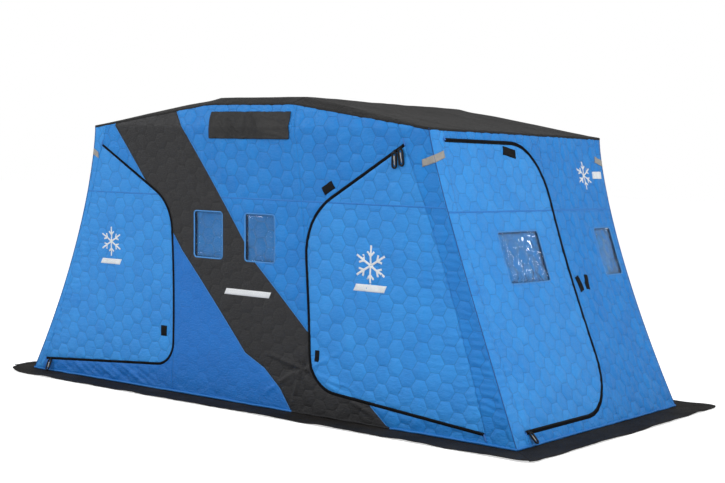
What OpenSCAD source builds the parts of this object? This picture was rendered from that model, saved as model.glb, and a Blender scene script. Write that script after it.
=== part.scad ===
// Insulated fabric ice fishing hut: a bus-shaped shell of quilted panels on a pole frame.
// X runs along the length, the long front wall faces -Y, Z is up and the ground is at zero.

/* [Shell] */
// Length of the hut at the ground, without the skirt
base_len = 4260; // [3600:10:5200]
// Width of the hut at the ground, without the skirt
base_wid = 2064; // [1700:4:2600]
// Length between the roof corners
roof_len = 2926; // [2400:2:3500]
// Width between the roof corners
roof_wid = 2094; // [1700:2:2600]
// Height of the four roof corners
corner_h = 1830; // [1500:5:2300]
// How far the long walls are drawn in at half height
side_bow = 48; // [0:1:80]
// How sharply the end walls flare towards the ground, 1 is straight
end_flare = 1.27; // [1:0.01:1.6]
// Thickness of the quilted wall, measured level
wall_t = 10; // [6:1:20]

/* [Roof] */
// Length of the flat crest panel
crest_len = 754; // [400:2:1400]
// How far each crest eave stands in from the roof corners
crest_inset = 37; // [0:1:120]
// Height of the crest eaves above the roof corners
crest_eave_rise = 152; // [80:2:300]
// Width of each crest shoulder
shoulder_w = 126; // [60:2:300]
// Height of the flat part of the crest above its eaves
crest_rise = 48; // [20:1:120]
// Thickness of the roof panels, measured upright
roof_t = 10; // [6:1:20]

/* [Doors] */
// Clear gap round each door, taken up by the zip and by the fold
door_gap = 8; // [7:0.5:14]
// Width of the zip tape on each side of the gap
tape_w = 12; // [8:1:20]
// Thickness of the zip tape
tape_t = 3; // [2:0.5:4]
// Radius of the corded fold that each door turns on
fold_r = 6; // [5:0.5:8]
// Length of each piece of corded fold
fold_len = 40; // [25:1:60]
// Running clearance at the corded folds
fold_clear = 1; // [0.5:0.1:2]

/* [Left front door] */
// Distance from the corner seam to the fold
left_inset = 90; // [80:1:200]
// Height of the lower end of the fold
left_low_z = 93; // [60:1:160]
// Drop from the roof corner to the upper end of the fold
left_top_drop = 137; // [100:1:250]
// Distance of the free edge from the middle of the wall, at the bottom
left_free_low = 665; // [600:1:900]
// Distance of the free edge from the middle of the wall, at the top
left_free_high = 725; // [600:1:950]
// Height of the door's lower free corner
left_free_low_z = 190; // [120:1:300]
// Drop from the roof corner to the door's upper free corner
left_shoulder_drop = 530; // [300:1:700]
// Corner radius at the bottom
left_r_low = 150; // [60:1:240]
// Corner radius at the top
left_r_high = 310; // [100:1:340]

/* [Right front door] */
// Distance from the corner seam to the fold
right_inset = 200; // [120:1:320]
// Height of the lower end of the fold
right_low_z = 66; // [50:1:160]
// Drop from the roof corner to the upper end of the fold
right_top_drop = 103; // [90:1:250]
// Distance of the free edge from the middle of the wall, at the bottom
right_free_low = 575; // [480:1:800]
// Distance of the free edge from the middle of the wall, at the top
right_free_high = 476; // [420:1:800]
// Height of the door's lower free corner
right_free_low_z = 180; // [120:1:300]
// Drop from the roof corner to the door's upper free corner
right_shoulder_drop = 575; // [300:1:700]
// Corner radius at the bottom
right_r_low = 240; // [60:1:260]
// Corner radius at the top
right_r_high = 420; // [100:1:440]

/* [End door] */
// Distance from the corner seam to the fold
end_inset = 140; // [100:1:260]
// Height of the lower end of the fold
end_low_z = 83; // [60:1:160]
// Drop from the roof corner to the top of the door
end_top_drop = 68; // [50:1:200]
// Distance of the free edge past the middle of the end wall
end_free = 206; // [0:1:320]
// Corner radius at the bottom
end_r_low = 340; // [60:1:360]
// Corner radius at the top
end_r_high = 360; // [100:1:380]

/* [Windows and vents] */
// Width of the square windows
window_w = 256; // [180:1:320]
// Height of every window
window_h = 308; // [220:1:380]
// Height of the lower edge of the front windows
window_sill = 950; // [800:5:1100]
// Middle of the left front window, from the middle of the wall
window_left_x = -369; // [-420:1:-320]
// Middle of the right front window, from the middle of the wall
window_right_x = 99; // [60:1:140]
// Height of the lower edge of the end windows
end_window_sill = 900; // [800:5:1000]
// Width of the window in the end door
door_window_w = 470; // [300:1:520]
// Middle of the window in the end door, from the middle of the end wall
door_window_y = -290; // [-330:1:-200]
// Width of the small end window
small_window_w = 232; // [160:1:260]
// Distance from the corner seam to the small end window
small_window_inset = 68; // [50:1:90]
// Thickness of the clear window sheet
pane_t = 2; // [1:0.5:3]
// Width of the vent flap
vent_w = 700; // [400:5:740]
// Height of the vent flap
vent_h = 158; // [100:2:200]
// Drop from the crest eave to the top of the vent flap
vent_drop = 66; // [40:1:120]
// Middle of the vent flap, from the middle of the wall
vent_x = 15; // [-60:1:60]
// Thickness of the vent flap
flap_t = 4; // [2:0.5:6]

/* [Trim] */
// Length of the fabric tabs by the zips
tab_len = 64; // [40:2:100]
// Width of the fabric tabs by the zips
tab_w = 44; // [30:2:60]
// Length and width of a zip slider
slider_w = 18; // [12:1:24]
// Thickness of the zip sliders and their pulls
pull_t = 7; // [5:0.5:9]
// Length of the long zip pulls
pull_len = 110; // [60:5:140]
// Length of the zip pulls at the ground
low_pull_len = 64; // [40:1:70]
// How far a reflective patch reaches past the corner seam on each side
patch_w = 100; // [60:2:140]
// Height of a reflective patch
patch_h = 44; // [30:1:60]
// How far a reflective patch climbs on each side of the seam
patch_rise = 28; // [0:1:40]
// Thickness of a reflective patch
patch_t = 2; // [1:0.5:3]
// Drop from the roof corner to the lower edge of a reflective patch
patch_drop = 231; // [200:1:400]

/* [Stripe] */
// Left edge of the dark stripe at the eave, left of the middle
stripe_top_left = 1255; // [1100:5:1300]
// Right edge of the dark stripe at the eave, left of the middle
stripe_top_right = 700; // [600:5:800]
// Left edge of the stripe at the ground, right of the middle
stripe_foot_left = 442; // [350:2:500]
// Right edge of the stripe at the ground, right of the middle
stripe_foot_right = 1228; // [1000:2:1300]
// Points between them on the left edge, as [from the middle, drop from the roof corner]
stripe_left_bends = [[-620, 845], [0, 1490], [178, 1571], [321, 1684]];
// Points between them on the right edge
stripe_right_bends = [[58, 885], [540, 1310]];

/* [Skirt] */
// Width of the snow skirt on the ground
skirt_w = 230; // [120:5:300]
// Thickness of the snow skirt
skirt_t = 4; // [3:0.5:6]

/* [Frame] */
// Diameter of the poles
pole_d = 19; // [14:0.5:25]
// Diameter of the hub fittings
hub_d = 50; // [36:1:60]
// Distance from the roof corner to the corner hub, along the length
hub_inset_x = 60; // [50:1:120]
// Distance from the roof corner to the corner hub, across the width
hub_inset_y = 62; // [55:1:120]
// Distance from the wall to the foot of a corner pole, across the width
foot_inset_y = 135; // [120:1:260]
// Diameter of the foot under a corner pole
foot_d = 36; // [30:1:60]
// Height of the foot under a corner pole
foot_h = 24; // [15:1:40]
// Distance from the crest eave to the crest hub, across the width
crest_hub_inset = 80; // [60:1:140]
// Gap where a piece lies against its neighbour
seat = 0.3; // [0.2:0.1:0.5]

/* [Hidden] */

bands = 6;                      // flat bands that make up a bowed wall
arc_steps = 8;                  // straight steps in a rounded outline corner
far = 2 * base_len;
mid_z = corner_h / 2;
crest_wid = roof_wid - 2 * crest_inset;
shoulder_wid = crest_wid - 2 * shoulder_w;
crest_eave_h = corner_h + crest_eave_rise;
crest_top_h = crest_eave_h + crest_rise;
round_fn = 32;

blue = [0.20, 0.50, 0.83];
charcoal = [0.22, 0.22, 0.23];
black = [0.10, 0.10, 0.11];
clear_blue = [0.55, 0.72, 0.88, 0.5];
silver = [0.62, 0.60, 0.57];

levels = [for (i = [0:bands]) corner_h * i / bands];

// Outer half length and half width at height z, straight between two levels.
function flare(z) = roof_len / 2
    + (base_len - roof_len) / 2 * pow(max(0, 1 - z / corner_h), end_flare);
function waist(z) = let (t = z / corner_h)
    base_wid / 2 + (roof_wid - base_wid) / 2 * t - 4 * side_bow * t * (1 - t);
function band_of(z) = min(bands - 1, floor(z * bands / corner_h));
function between(lo, hi, z) = let (i = band_of(z), z0 = levels[i], z1 = levels[i + 1])
    lo + (hi - lo) * (z - z0) / (z1 - z0);
function half_len(z) = let (i = band_of(z)) between(flare(levels[i]), flare(levels[i + 1]), z);
function half_wid(z) = z > corner_h
    ? (roof_wid + (crest_wid - roof_wid) * (z - corner_h) / (crest_eave_h - corner_h)) / 2
    : let (i = band_of(z)) between(waist(levels[i]), waist(levels[i + 1]), z);

// Plane outlines: parallel edges, rounded corners and mirror images.
function unit(v) = v / norm(v);
function inward(a, b) = let (u = unit(b - a)) [-u[1], u[0]];
function meet(p, u, q, v) = p + u * cross(q - p, v) / cross(u, v);
function inset(pts, d) = let (n = len(pts)) [
    for (i = [0:n - 1])
        let (a = pts[(i + n - 1) % n], b = pts[i], c = pts[(i + 1) % n])
            meet(b + inward(a, b) * d[(i + n - 1) % n], unit(b - a),
                 b + inward(b, c) * d[i], unit(c - b))
];
function turn(a) = a > 180 ? a - 360 : a < -180 ? a + 360 : a;
function corner_arc(a, b, c, r) = r <= 0 ? [b] :
    let (u = unit(a - b), v = unit(c - b), half = acos(u * v) / 2,
         m = b + unit(u + v) * r / sin(half), p = b + u * r / tan(half) - m,
         q = b + v * r / tan(half) - m, a0 = atan2(p[1], p[0]),
         sweep = turn(atan2(q[1], q[0]) - a0))
        [for (k = [0:arc_steps]) let (t = a0 + sweep * k / arc_steps) m + r * [cos(t), sin(t)]];
function rounded(pts, r) = let (n = len(pts)) [
    for (i = [0:n - 1]) each corner_arc(pts[(i + n - 1) % n], pts[i], pts[(i + 1) % n], r[i])
];
function flip(pts) = [for (p = pts) [-p[0], p[1]]];
function along(p, q, z) = p[0] + (q[0] - p[0]) * (z - p[1]) / (q[1] - p[1]);

// A door is [hinge low, free low, free high, hinge high, low radius, high radius].
// The hinge lies to the left, so the right front door is drawn flipped.
left_door = let (top = corner_h - left_top_drop) [
    [-half_len(left_low_z) + left_inset, left_low_z],
    [-left_free_low, left_free_low_z],
    [-left_free_high, corner_h - left_shoulder_drop],
    [-half_len(top) + left_inset, top], left_r_low, left_r_high];
right_door = let (top = corner_h - right_top_drop) [
    [-half_len(right_low_z) + right_inset, right_low_z],
    [-right_free_low, right_free_low_z],
    [-right_free_high, corner_h - right_shoulder_drop],
    [-half_len(top) + right_inset, top], right_r_low, right_r_high];
end_door = let (top = corner_h - end_top_drop) [
    [-half_wid(end_low_z) + end_inset, end_low_z],
    [end_free, end_low_z],
    [end_free, top],
    [-half_wid(top) + end_inset, top], end_r_low, end_r_high];

// Outline of a door moved in by d along its zip and by dh along its fold.
function door_shape(door, d, dh) =
    rounded(inset([for (i = [0:3]) door[i]], [d, d, d, dh]), [0, door[4] - d, door[5] - d, 0]);
function panel_shape(door) = door_shape(door, door_gap / 2, door_gap / 2);
function opening_shape(door) = door_shape(door, -door_gap / 2, -door_gap / 2);

// Fold axes on the outer surface, as [lower end, upper end].
function front_point(p) = [p[0], -half_wid(p[1]), p[1]];
function end_point(p) = [half_len(p[1]), p[0], p[1]];
left_axis = [front_point(left_door[0]), front_point(left_door[3])];
right_axis = [for (p = [right_door[0], right_door[3]]) front_point([-p[0], p[1]])];
end_axis = [end_point(end_door[0]), end_point(end_door[3])];

// Stripe edges from the eave to the ground.
function bends(pts) = [for (p = pts) [p[0], corner_h - p[1]]];
stripe_left = concat([[-stripe_top_left, corner_h]], bends(stripe_left_bends),
                     [[stripe_foot_left, 0]]);
stripe_right = concat([[-stripe_top_right, crest_eave_h]], bends(stripe_right_bends),
                      [[stripe_foot_right, 0]]);

// ---- solids of one wall thickness ----

// Sheet that follows the front wall, from d0 to d1 below its outer surface.
module front_layer(d0, d1) {
    lv = concat(levels, [crest_eave_h]);
    n = len(lv);
    rotate([90, 0, 90])
        linear_extrude(base_len, center = true)
            polygon(concat(
                [for (z = lv) [d0 - half_wid(z), z]],
                [for (i = [n - 1:-1:0]) [d1 - half_wid(lv[i]), lv[i]]]));
}

// Sheet that follows the right end wall, from d0 to d1 below its outer surface.
module end_layer(d0, d1) {
    rotate([90, 0, 0])
        linear_extrude(roof_wid + base_wid, center = true)
            polygon(concat(
                [for (z = levels) [half_len(z) - d0, z]],
                [for (i = [bands:-1:0]) [half_len(levels[i]) - d1, levels[i]]]));
}

module from_front() {
    rotate([90, 0, 0]) linear_extrude(base_wid) children();
}

module from_right() {
    rotate([90, 0, 90]) linear_extrude(base_len) children();
}

module front_piece(d0 = 0, d1 = wall_t) {
    intersection() {
        front_layer(d0, d1);
        from_front() children();
    }
}

module end_piece(d0 = 0, d1 = wall_t) {
    intersection() {
        end_layer(d0, d1);
        from_right() children();
    }
}

module each_quarter() {
    for (sx = [0, 1], sy = [0, 1])
        mirror([sx, 0, 0]) mirror([0, sy, 0]) children();
}

// Round bar between two points, running past them by the given amounts.
module bar(p, q, d, before = 0, after = 0) {
    v = q - p;
    translate(p)
        rotate([0, acos(v[2] / norm(v)), atan2(v[1], v[0])])
            translate([0, 0, -before])
                cylinder(h = norm(v) + before + after, d = d, $fn = round_fn);
}

// ---- outlines of the walls ----

module front_outline() {
    top = corner_h - roof_t;
    side = concat([for (i = [0:bands - 1]) [half_len(levels[i]), levels[i]]],
                  [[half_len(top), top], [roof_len / 2, top], [crest_len / 2, crest_eave_h - roof_t]]);
    n = len(side);
    polygon(concat(side, flip([for (i = [n - 1:-1:0]) side[i]])));
}

module end_outline() {
    top = corner_h - roof_t;
    side = concat([for (i = [0:bands - 1]) [half_wid(levels[i]) - wall_t, levels[i]]],
                  [[half_wid(top) - wall_t, top]]);
    n = len(side);
    polygon(concat(side, flip([for (i = [n - 1:-1:0]) side[i]])));
}

module left_of(p, q) {
    polygon([[-far, -far], [along(p, q, -far), -far], [along(p, q, far), far], [-far, far]]);
}

module upper_half() {
    translate([-far, mid_z]) square(2 * far);
}

module left_door_side() { left_of(left_door[1], left_door[2]); }
module left_fold_side() { left_of(left_door[0], left_door[3]); }
module right_door_side() { mirror([1, 0]) left_of(right_door[1], right_door[2]); }
module right_fold_side() { mirror([1, 0]) left_of(right_door[0], right_door[3]); }
module end_door_side() { left_of(end_door[1], end_door[2]); }
module end_fold_side() { left_of(end_door[0], end_door[3]); }

module front_openings() {
    polygon(opening_shape(left_door));
    polygon(flip(opening_shape(right_door)));
}

module stripe_area() {
    n = len(stripe_right);
    polygon(concat([[-stripe_top_left, far]], stripe_left,
                   [for (i = [n - 1:-1:0]) stripe_right[i]], [[-stripe_top_right, far]]));
}

module left_of_stripe() {
    polygon(concat([[-far, -far], [-far, far], [-stripe_top_left, far]], stripe_left,
                   [[stripe_foot_left, -far]]));
}

module window_area(x, sill, w) {
    translate([x - w / 2, sill]) square([w, window_h]);
}

module front_window_areas() {
    for (x = [window_left_x, window_right_x]) window_area(x, window_sill, window_w);
}

module small_window_area() {
    y = half_wid(end_window_sill) - small_window_inset - small_window_w / 2;
    window_area(y, end_window_sill, small_window_w);
}

// ---- corded folds: short round pieces in line with each door's fold ----

fold_step = door_gap / 4;       // how far the wall's pieces run in past the door's corners

module wall_fold_ends(axis, grow = 0) {
    far_end = norm(axis[1] - axis[0]);
    u = (axis[1] - axis[0]) / far_end;
    for (s = [[-fold_len, fold_step], [far_end - fold_step, far_end + fold_len]])
        bar(axis[0] + u * s[0], axis[0] + u * s[1], 2 * (fold_r + grow), grow, grow);
}

module door_fold_ends(axis, grow = 0) {
    far_end = norm(axis[1] - axis[0]);
    u = (axis[1] - axis[0]) / far_end;
    step = fold_step + seat;
    for (s = [[step, step + fold_len], [far_end - step - fold_len, far_end - step]])
        bar(axis[0] + u * s[0], axis[0] + u * s[1], 2 * (fold_r + grow), grow, grow);
}

// Room that the wall's pieces leave round the corded folds.
module fold_room(axis) {
    wall_fold_ends(axis, seat);
    door_fold_ends(axis, fold_clear);
}

// Room that the door's tape leaves round them.
module tape_room(axis) {
    wall_fold_ends(axis, fold_clear);
    door_fold_ends(axis, seat);
}

// ---- front wall ----

module front_wall_piece() {
    color(blue)
        difference() {
            front_piece()
                difference() {
                    intersection() {
                        front_outline();
                        children();
                    }
                    front_openings();
                }
            fold_room(left_axis);
            fold_room(right_axis);
        }
}

module front_left_corner() {
    front_wall_piece() left_fold_side();
}

module front_left_sill() {
    front_wall_piece()
        difference() {
            left_door_side();
            left_fold_side();
            upper_half();
        }
}

module front_over_left_door() {
    front_wall_piece()
        difference() {
            intersection() {
                left_door_side();
                upper_half();
            }
            left_fold_side();
            stripe_area();
        }
}

module front_lower_panel() {
    front_wall_piece()
        difference() {
            left_of_stripe();
            left_door_side();
            front_window_areas();
        }
}

module front_stripe() {
    color(charcoal)
        front_piece()
            difference() {
                intersection() {
                    front_outline();
                    stripe_area();
                }
                front_openings();
                front_window_areas();
            }
}

module front_upper_panel() {
    color(blue)
        front_piece()
            difference() {
                front_outline();
                left_of_stripe();
                stripe_area();
                right_door_side();
                front_openings();
                front_window_areas();
            }
}

module front_over_right_door() {
    front_wall_piece()
        difference() {
            intersection() {
                right_door_side();
                upper_half();
            }
            right_fold_side();
            stripe_area();
        }
}

module front_right_sill() {
    front_wall_piece()
        difference() {
            right_door_side();
            right_fold_side();
            upper_half();
            left_of_stripe();
            stripe_area();
        }
}

module front_right_corner() {
    front_wall_piece() right_fold_side();
}

module front_windows() {
    color(clear_blue)
        front_piece(wall_t / 2, wall_t / 2 + pane_t) front_window_areas();
}

module front_vent_flap() {
    color(charcoal)
        front_piece(-flap_t, 0)
            translate([vent_x - vent_w / 2, crest_eave_h - vent_drop - vent_h])
                square([vent_w, vent_h]);
}

// ---- doors ----

module front_left_door() {
    color(blue) {
        front_piece() polygon(panel_shape(left_door));
        door_fold_ends(left_axis);
    }
}

module front_right_door() {
    color(blue) {
        front_piece() polygon(flip(panel_shape(right_door)));
        door_fold_ends(right_axis);
    }
}

module right_end_door() {
    color(blue) {
        end_piece()
            difference() {
                polygon(panel_shape(end_door));
                window_area(door_window_y, end_window_sill, door_window_w);
            }
        door_fold_ends(end_axis);
    }
}

module right_end_door_window() {
    color(clear_blue)
        end_piece(wall_t / 2, wall_t / 2 + pane_t)
            window_area(door_window_y, end_window_sill, door_window_w);
}

module door_folds() {
    color(blue)
        for (axis = [left_axis, right_axis, end_axis]) wall_fold_ends(axis);
}

// Half of the zip tape, on the door's side of the gap.
module door_tape(door) {
    difference() {
        polygon(panel_shape(door));
        polygon(door_shape(door, door_gap / 2 + tape_w, -far / 100));
    }
}

// Half of the zip tape, on the wall's side of the gap.
module wall_tape(door) {
    difference() {
        polygon(door_shape(door, -door_gap / 2 - tape_w, door_gap / 2));
        polygon(door_shape(door, -door_gap / 2, -far / 100));
    }
}

// Fabric tab in the wall's plane, turned by angle a.
module tab(x, z, a = 0, width = tab_w) {
    translate([x, z]) rotate(a) square([width, tab_len], center = true);
}

// Zip slider with its pull hanging below it.
module pull(x, z, drop) {
    translate([x, z]) square(slider_w, center = true);
    translate([x - slider_w / 4, z - drop]) square([slider_w / 2, drop]);
}

module front_pull() { front_piece(-tape_t - seat - pull_t, -tape_t - seat) children(); }
module end_pull() { end_piece(-tape_t - seat - pull_t, -tape_t - seat) children(); }

module front_left_door_trim() {
    color(black) {
        difference() {
            front_piece(-tape_t, 0) door_tape(left_door);
            tape_room(left_axis);
        }
        front_piece(-tape_t, 0)
            tab(-left_free_low - 1.5 * tab_len, left_free_low_z + 2 * left_r_low);
    }
}

module front_right_door_trim() {
    top = right_door[3];
    color(black) {
        difference() {
            front_piece(-tape_t, 0) mirror([1, 0]) door_tape(right_door);
            tape_room(right_axis);
        }
        front_piece(-tape_t, 0)
            tab(right_free_low + tab_w, right_free_low_z + right_r_low, 0, 0.8 * tab_w);
        front_pull() {
            pull(-top[0] - 1.5 * slider_w, top[1] - 2 * slider_w, pull_len);
            pull(-top[0] - 3.5 * slider_w, top[1] - 3 * slider_w, pull_len);
        }
    }
}

module right_end_door_trim() {
    color(black) {
        difference() {
            end_piece(-tape_t, 0) door_tape(end_door);
            tape_room(end_axis);
        }
        end_piece(-tape_t, 0)
            tab(end_free - 6 * tab_len, end_door[2][1] - tab_len, 82);
    }
}

module wall_trim() {
    color(black) {
        difference() {
            front_piece(-tape_t, 0) {
                wall_tape(left_door);
                mirror([1, 0]) wall_tape(right_door);
            }
            fold_room(left_axis);
            fold_room(right_axis);
        }
        difference() {
            end_piece(-tape_t, 0) wall_tape(end_door);
            fold_room(end_axis);
        }
        front_piece(-tape_t, 0)
            tab(right_free_low + 1.5 * tab_len, right_door[2][1] + 3.4 * tab_len, -59);
        end_piece(-tape_t, 0)
            for (step = [1.5, 3]) tab(end_free + step * tab_len, end_window_sill - tab_len / 2);
        front_pull()
            pull(left_door[0][0] + 2 * slider_w, left_low_z - 0.7 * slider_w, low_pull_len);
        end_pull()
            pull(end_door[0][0] + 2 * slider_w, end_low_z - 0.7 * slider_w, low_pull_len);
    }
}

// ---- rear wall: the same cloth with no door ----

module rear_piece() {
    rotate([0, 0, 180]) children();
}

module rear_left_panel() {
    color(blue)
        rear_piece() front_piece()
            difference() {
                front_outline();
                left_of_stripe();
                stripe_area();
                front_window_areas();
            }
}

module rear_stripe() {
    color(charcoal)
        rear_piece() front_piece()
            difference() {
                intersection() {
                    front_outline();
                    stripe_area();
                }
                front_window_areas();
            }
}

module rear_right_panel() {
    color(blue)
        rear_piece() front_piece()
            difference() {
                intersection() {
                    front_outline();
                    left_of_stripe();
                }
                front_window_areas();
            }
}

module rear_windows() { rear_piece() front_windows(); }
module rear_vent_flap() { rear_piece() front_vent_flap(); }

// ---- end walls ----

module left_end_wall() {
    color(blue)
        rear_piece() end_piece()
            difference() {
                end_outline();
                small_window_area();
                mirror([1, 0]) small_window_area();
            }
}

module left_end_windows() {
    color(clear_blue)
        rear_piece() end_piece(wall_t / 2, wall_t / 2 + pane_t) {
            small_window_area();
            mirror([1, 0]) small_window_area();
        }
}

module right_end_piece() {
    color(blue)
        difference() {
            end_piece()
                difference() {
                    intersection() {
                        end_outline();
                        children();
                    }
                    polygon(opening_shape(end_door));
                }
            fold_room(end_axis);
        }
}

module right_end_corner() {
    right_end_piece() end_fold_side();
}

module right_end_sill() {
    right_end_piece()
        difference() {
            end_door_side();
            end_fold_side();
            upper_half();
        }
}

module right_end_over_door() {
    right_end_piece()
        difference() {
            intersection() {
                end_door_side();
                upper_half();
            }
            end_fold_side();
        }
}

module right_end_panel() {
    right_end_piece()
        difference() {
            translate([-far, -far]) square(2 * far);
            end_door_side();
            small_window_area();
        }
}

module right_end_window() {
    color(clear_blue) end_piece(wall_t / 2, wall_t / 2 + pane_t) small_window_area();
}

// ---- roof ----

module roof_crest() {
    top = [[-crest_wid / 2, crest_eave_h], [-shoulder_wid / 2, crest_top_h],
           [shoulder_wid / 2, crest_top_h], [crest_wid / 2, crest_eave_h]];
    color(charcoal)
        rotate([90, 0, 90])
            linear_extrude(crest_len, center = true)
                polygon(concat(top, [for (i = [3:-1:0]) top[i] - [0, roof_t]]));
}

module roof_panel() {
    x0 = crest_len / 2;
    x1 = roof_len / 2;
    color(charcoal)
        intersection() {
            rotate([90, 0, 0])
                linear_extrude(roof_wid, center = true)
                    polygon([[x0, crest_top_h], [x1, corner_h], [x1, corner_h - roof_t],
                             [x0, crest_top_h - roof_t]]);
            linear_extrude(2 * crest_top_h)
                polygon([[x0, -shoulder_wid / 2], [x1, -roof_wid / 2],
                         [x1, roof_wid / 2], [x0, shoulder_wid / 2]]);
        }
}

module roof_panel_right() { roof_panel(); }
module roof_panel_left() { mirror([1, 0, 0]) roof_panel(); }

// Three-cornered piece between the crest, an end panel and the long wall.
module gusset() {
    top = [[crest_len / 2, -crest_wid / 2, crest_eave_h],
           [roof_len / 2, -roof_wid / 2, corner_h],
           [crest_len / 2, -shoulder_wid / 2, crest_top_h]];
    polyhedron(
        points = concat(top, [for (p = top) p - [0, 0, roof_t]]),
        faces = [[2, 1, 0], [3, 4, 5], [0, 1, 4, 3], [1, 2, 5, 4], [2, 0, 3, 5]]);
}

module roof_gussets() {
    color(charcoal) each_quarter() gusset();
}

// ---- skirt ----

module skirt(length, width) {
    color(black)
        linear_extrude(skirt_t)
            polygon([[-length / 2, -width / 2], [length / 2, -width / 2],
                     [length / 2 + skirt_w, -width / 2 - skirt_w],
                     [-length / 2 - skirt_w, -width / 2 - skirt_w]]);
}

module skirt_front() { skirt(base_len, base_wid); }
module skirt_rear() { rotate([0, 0, 180]) skirt(base_len, base_wid); }
module skirt_right() { rotate([0, 0, 90]) skirt(base_wid, base_len); }
module skirt_left() { rotate([0, 0, -90]) skirt(base_wid, base_len); }

// ---- reflective patches wrapped round the corner seams ----

// One side of a patch, rising from height z at its near end to the seam.
module patch_area(near_x, seam_x, z) {
    polygon([[near_x, z], [seam_x, z + patch_rise], [seam_x, z + patch_rise + patch_h],
             [near_x, z + patch_h]]);
}

// Patch that reaches front_w along the front wall and patch_w along the end wall.
module corner_patch(front_w) {
    z = corner_h - patch_drop;
    front_piece(-patch_t, 0)
        intersection() {
            front_outline();
            patch_area(half_len(z) - front_w, half_len(z), z);
        }
    end_piece(-patch_t, 0)
        patch_area(patch_w - half_wid(z), -half_wid(z) - patch_t, z);
}

// The patch beside the left door stops short of its fold.
module reflective_patches() {
    color(silver)
        for (sx = [0, 1], sy = [0, 1])
            mirror([sx, 0, 0]) mirror([0, sy, 0])
                corner_patch(sx == 1 && sy == 0 ? left_inset - tape_w - door_gap : patch_w);
}

// ---- pole frame ----

hub_reach = hub_d / 2 + seat;
slope = (crest_top_h - corner_h) / (roof_len / 2 - crest_len / 2);
shoulder_slope = crest_rise / ((crest_wid - shoulder_wid) / 2);
corner_hub = let (x = roof_len / 2 - hub_inset_x) [
    x, roof_wid / 2 - hub_inset_y,
    corner_h - roof_t + hub_inset_x * slope - hub_reach * sqrt(1 + slope * slope)];
crest_hub = [
    crest_len / 2, crest_wid / 2 - crest_hub_inset,
    crest_eave_h - roof_t + crest_hub_inset * shoulder_slope
        - hub_reach * sqrt(1 + shoulder_slope * shoulder_slope)];
foot_top = [roof_len / 2 + hub_inset_x, base_wid / 2 - foot_inset_y, foot_h];

// Bar between two hubs, ending just short of their surfaces.
module hub_bar(p, q) {
    bar(p, q, pole_d, -hub_reach, -hub_reach);
}

module corner_poles() {
    v = corner_hub - foot_top;
    tilt = norm([v[0], v[1]]) / norm(v);
    color(silver)
        each_quarter()
            bar(foot_top, corner_hub, pole_d, -seat - pole_d / 2 * tilt, -hub_reach);
}

function mirror_y(p) = [p[0], -p[1], p[2]];
function mirror_x(p) = [-p[0], p[1], p[2]];

module roof_bars() {
    color(silver) {
        for (sx = [0, 1]) mirror([sx, 0, 0]) hub_bar(corner_hub, mirror_y(corner_hub));
        each_quarter() hub_bar(corner_hub, crest_hub);
    }
}

module crest_bars() {
    color(silver) {
        for (sx = [0, 1]) mirror([sx, 0, 0]) hub_bar(crest_hub, mirror_y(crest_hub));
        for (sy = [0, 1]) mirror([0, sy, 0]) hub_bar(crest_hub, mirror_x(crest_hub));
    }
}

module hub_fittings() {
    color(black)
        each_quarter()
            for (p = [corner_hub, crest_hub]) translate(p) sphere(d = hub_d, $fn = round_fn);
}

module pole_feet() {
    color(black)
        each_quarter()
            translate(foot_top - [0, 0, foot_h]) cylinder(h = foot_h, d = foot_d, $fn = round_fn);
}

front_left_corner();
front_left_sill();
front_over_left_door();
front_lower_panel();
front_stripe();
front_upper_panel();
front_over_right_door();
front_right_sill();
front_right_corner();
front_left_door();
front_right_door();
front_windows();
front_vent_flap();
rear_left_panel();
rear_stripe();
rear_right_panel();
rear_windows();
rear_vent_flap();
left_end_wall();
left_end_windows();
right_end_corner();
right_end_sill();
right_end_over_door();
right_end_panel();
right_end_window();
right_end_door();
right_end_door_window();
roof_crest();
roof_panel_left();
roof_panel_right();
roof_gussets();
skirt_front();
skirt_rear();
skirt_left();
skirt_right();
wall_trim();
front_left_door_trim();
front_right_door_trim();
right_end_door_trim();
door_folds();
reflective_patches();
corner_poles();
roof_bars();
crest_bars();
hub_fittings();
pole_feet();
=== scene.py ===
import bpy, math
import numpy as np
from mathutils import Matrix, Vector
from mathutils.geometry import delaunay_2d_cdt
from mathutils.kdtree import KDTree


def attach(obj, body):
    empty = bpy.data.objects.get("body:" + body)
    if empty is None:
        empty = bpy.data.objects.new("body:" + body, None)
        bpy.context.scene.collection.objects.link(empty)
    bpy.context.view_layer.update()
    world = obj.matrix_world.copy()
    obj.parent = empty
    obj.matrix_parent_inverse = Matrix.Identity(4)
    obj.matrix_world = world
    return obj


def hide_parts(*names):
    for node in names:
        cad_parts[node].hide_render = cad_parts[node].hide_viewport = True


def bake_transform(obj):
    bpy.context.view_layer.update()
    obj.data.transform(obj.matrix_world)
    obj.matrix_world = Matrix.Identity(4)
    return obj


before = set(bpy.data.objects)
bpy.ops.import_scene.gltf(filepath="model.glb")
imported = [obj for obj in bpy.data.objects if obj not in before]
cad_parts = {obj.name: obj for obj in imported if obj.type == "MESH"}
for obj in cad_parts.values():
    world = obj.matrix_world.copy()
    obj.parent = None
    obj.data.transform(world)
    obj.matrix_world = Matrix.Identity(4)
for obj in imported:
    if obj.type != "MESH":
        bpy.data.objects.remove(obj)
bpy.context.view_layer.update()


# ---- Studio: camera, pale floor and soft light ----
# The camera stands at head height off the right front corner. A white sky and
# two large soft lights show the quilting from the side of the end door.
def put_object(name, data):
    """A new object in the scene."""
    made = bpy.data.objects.new(name, data)
    bpy.context.scene.collection.objects.link(made)
    return made


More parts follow.
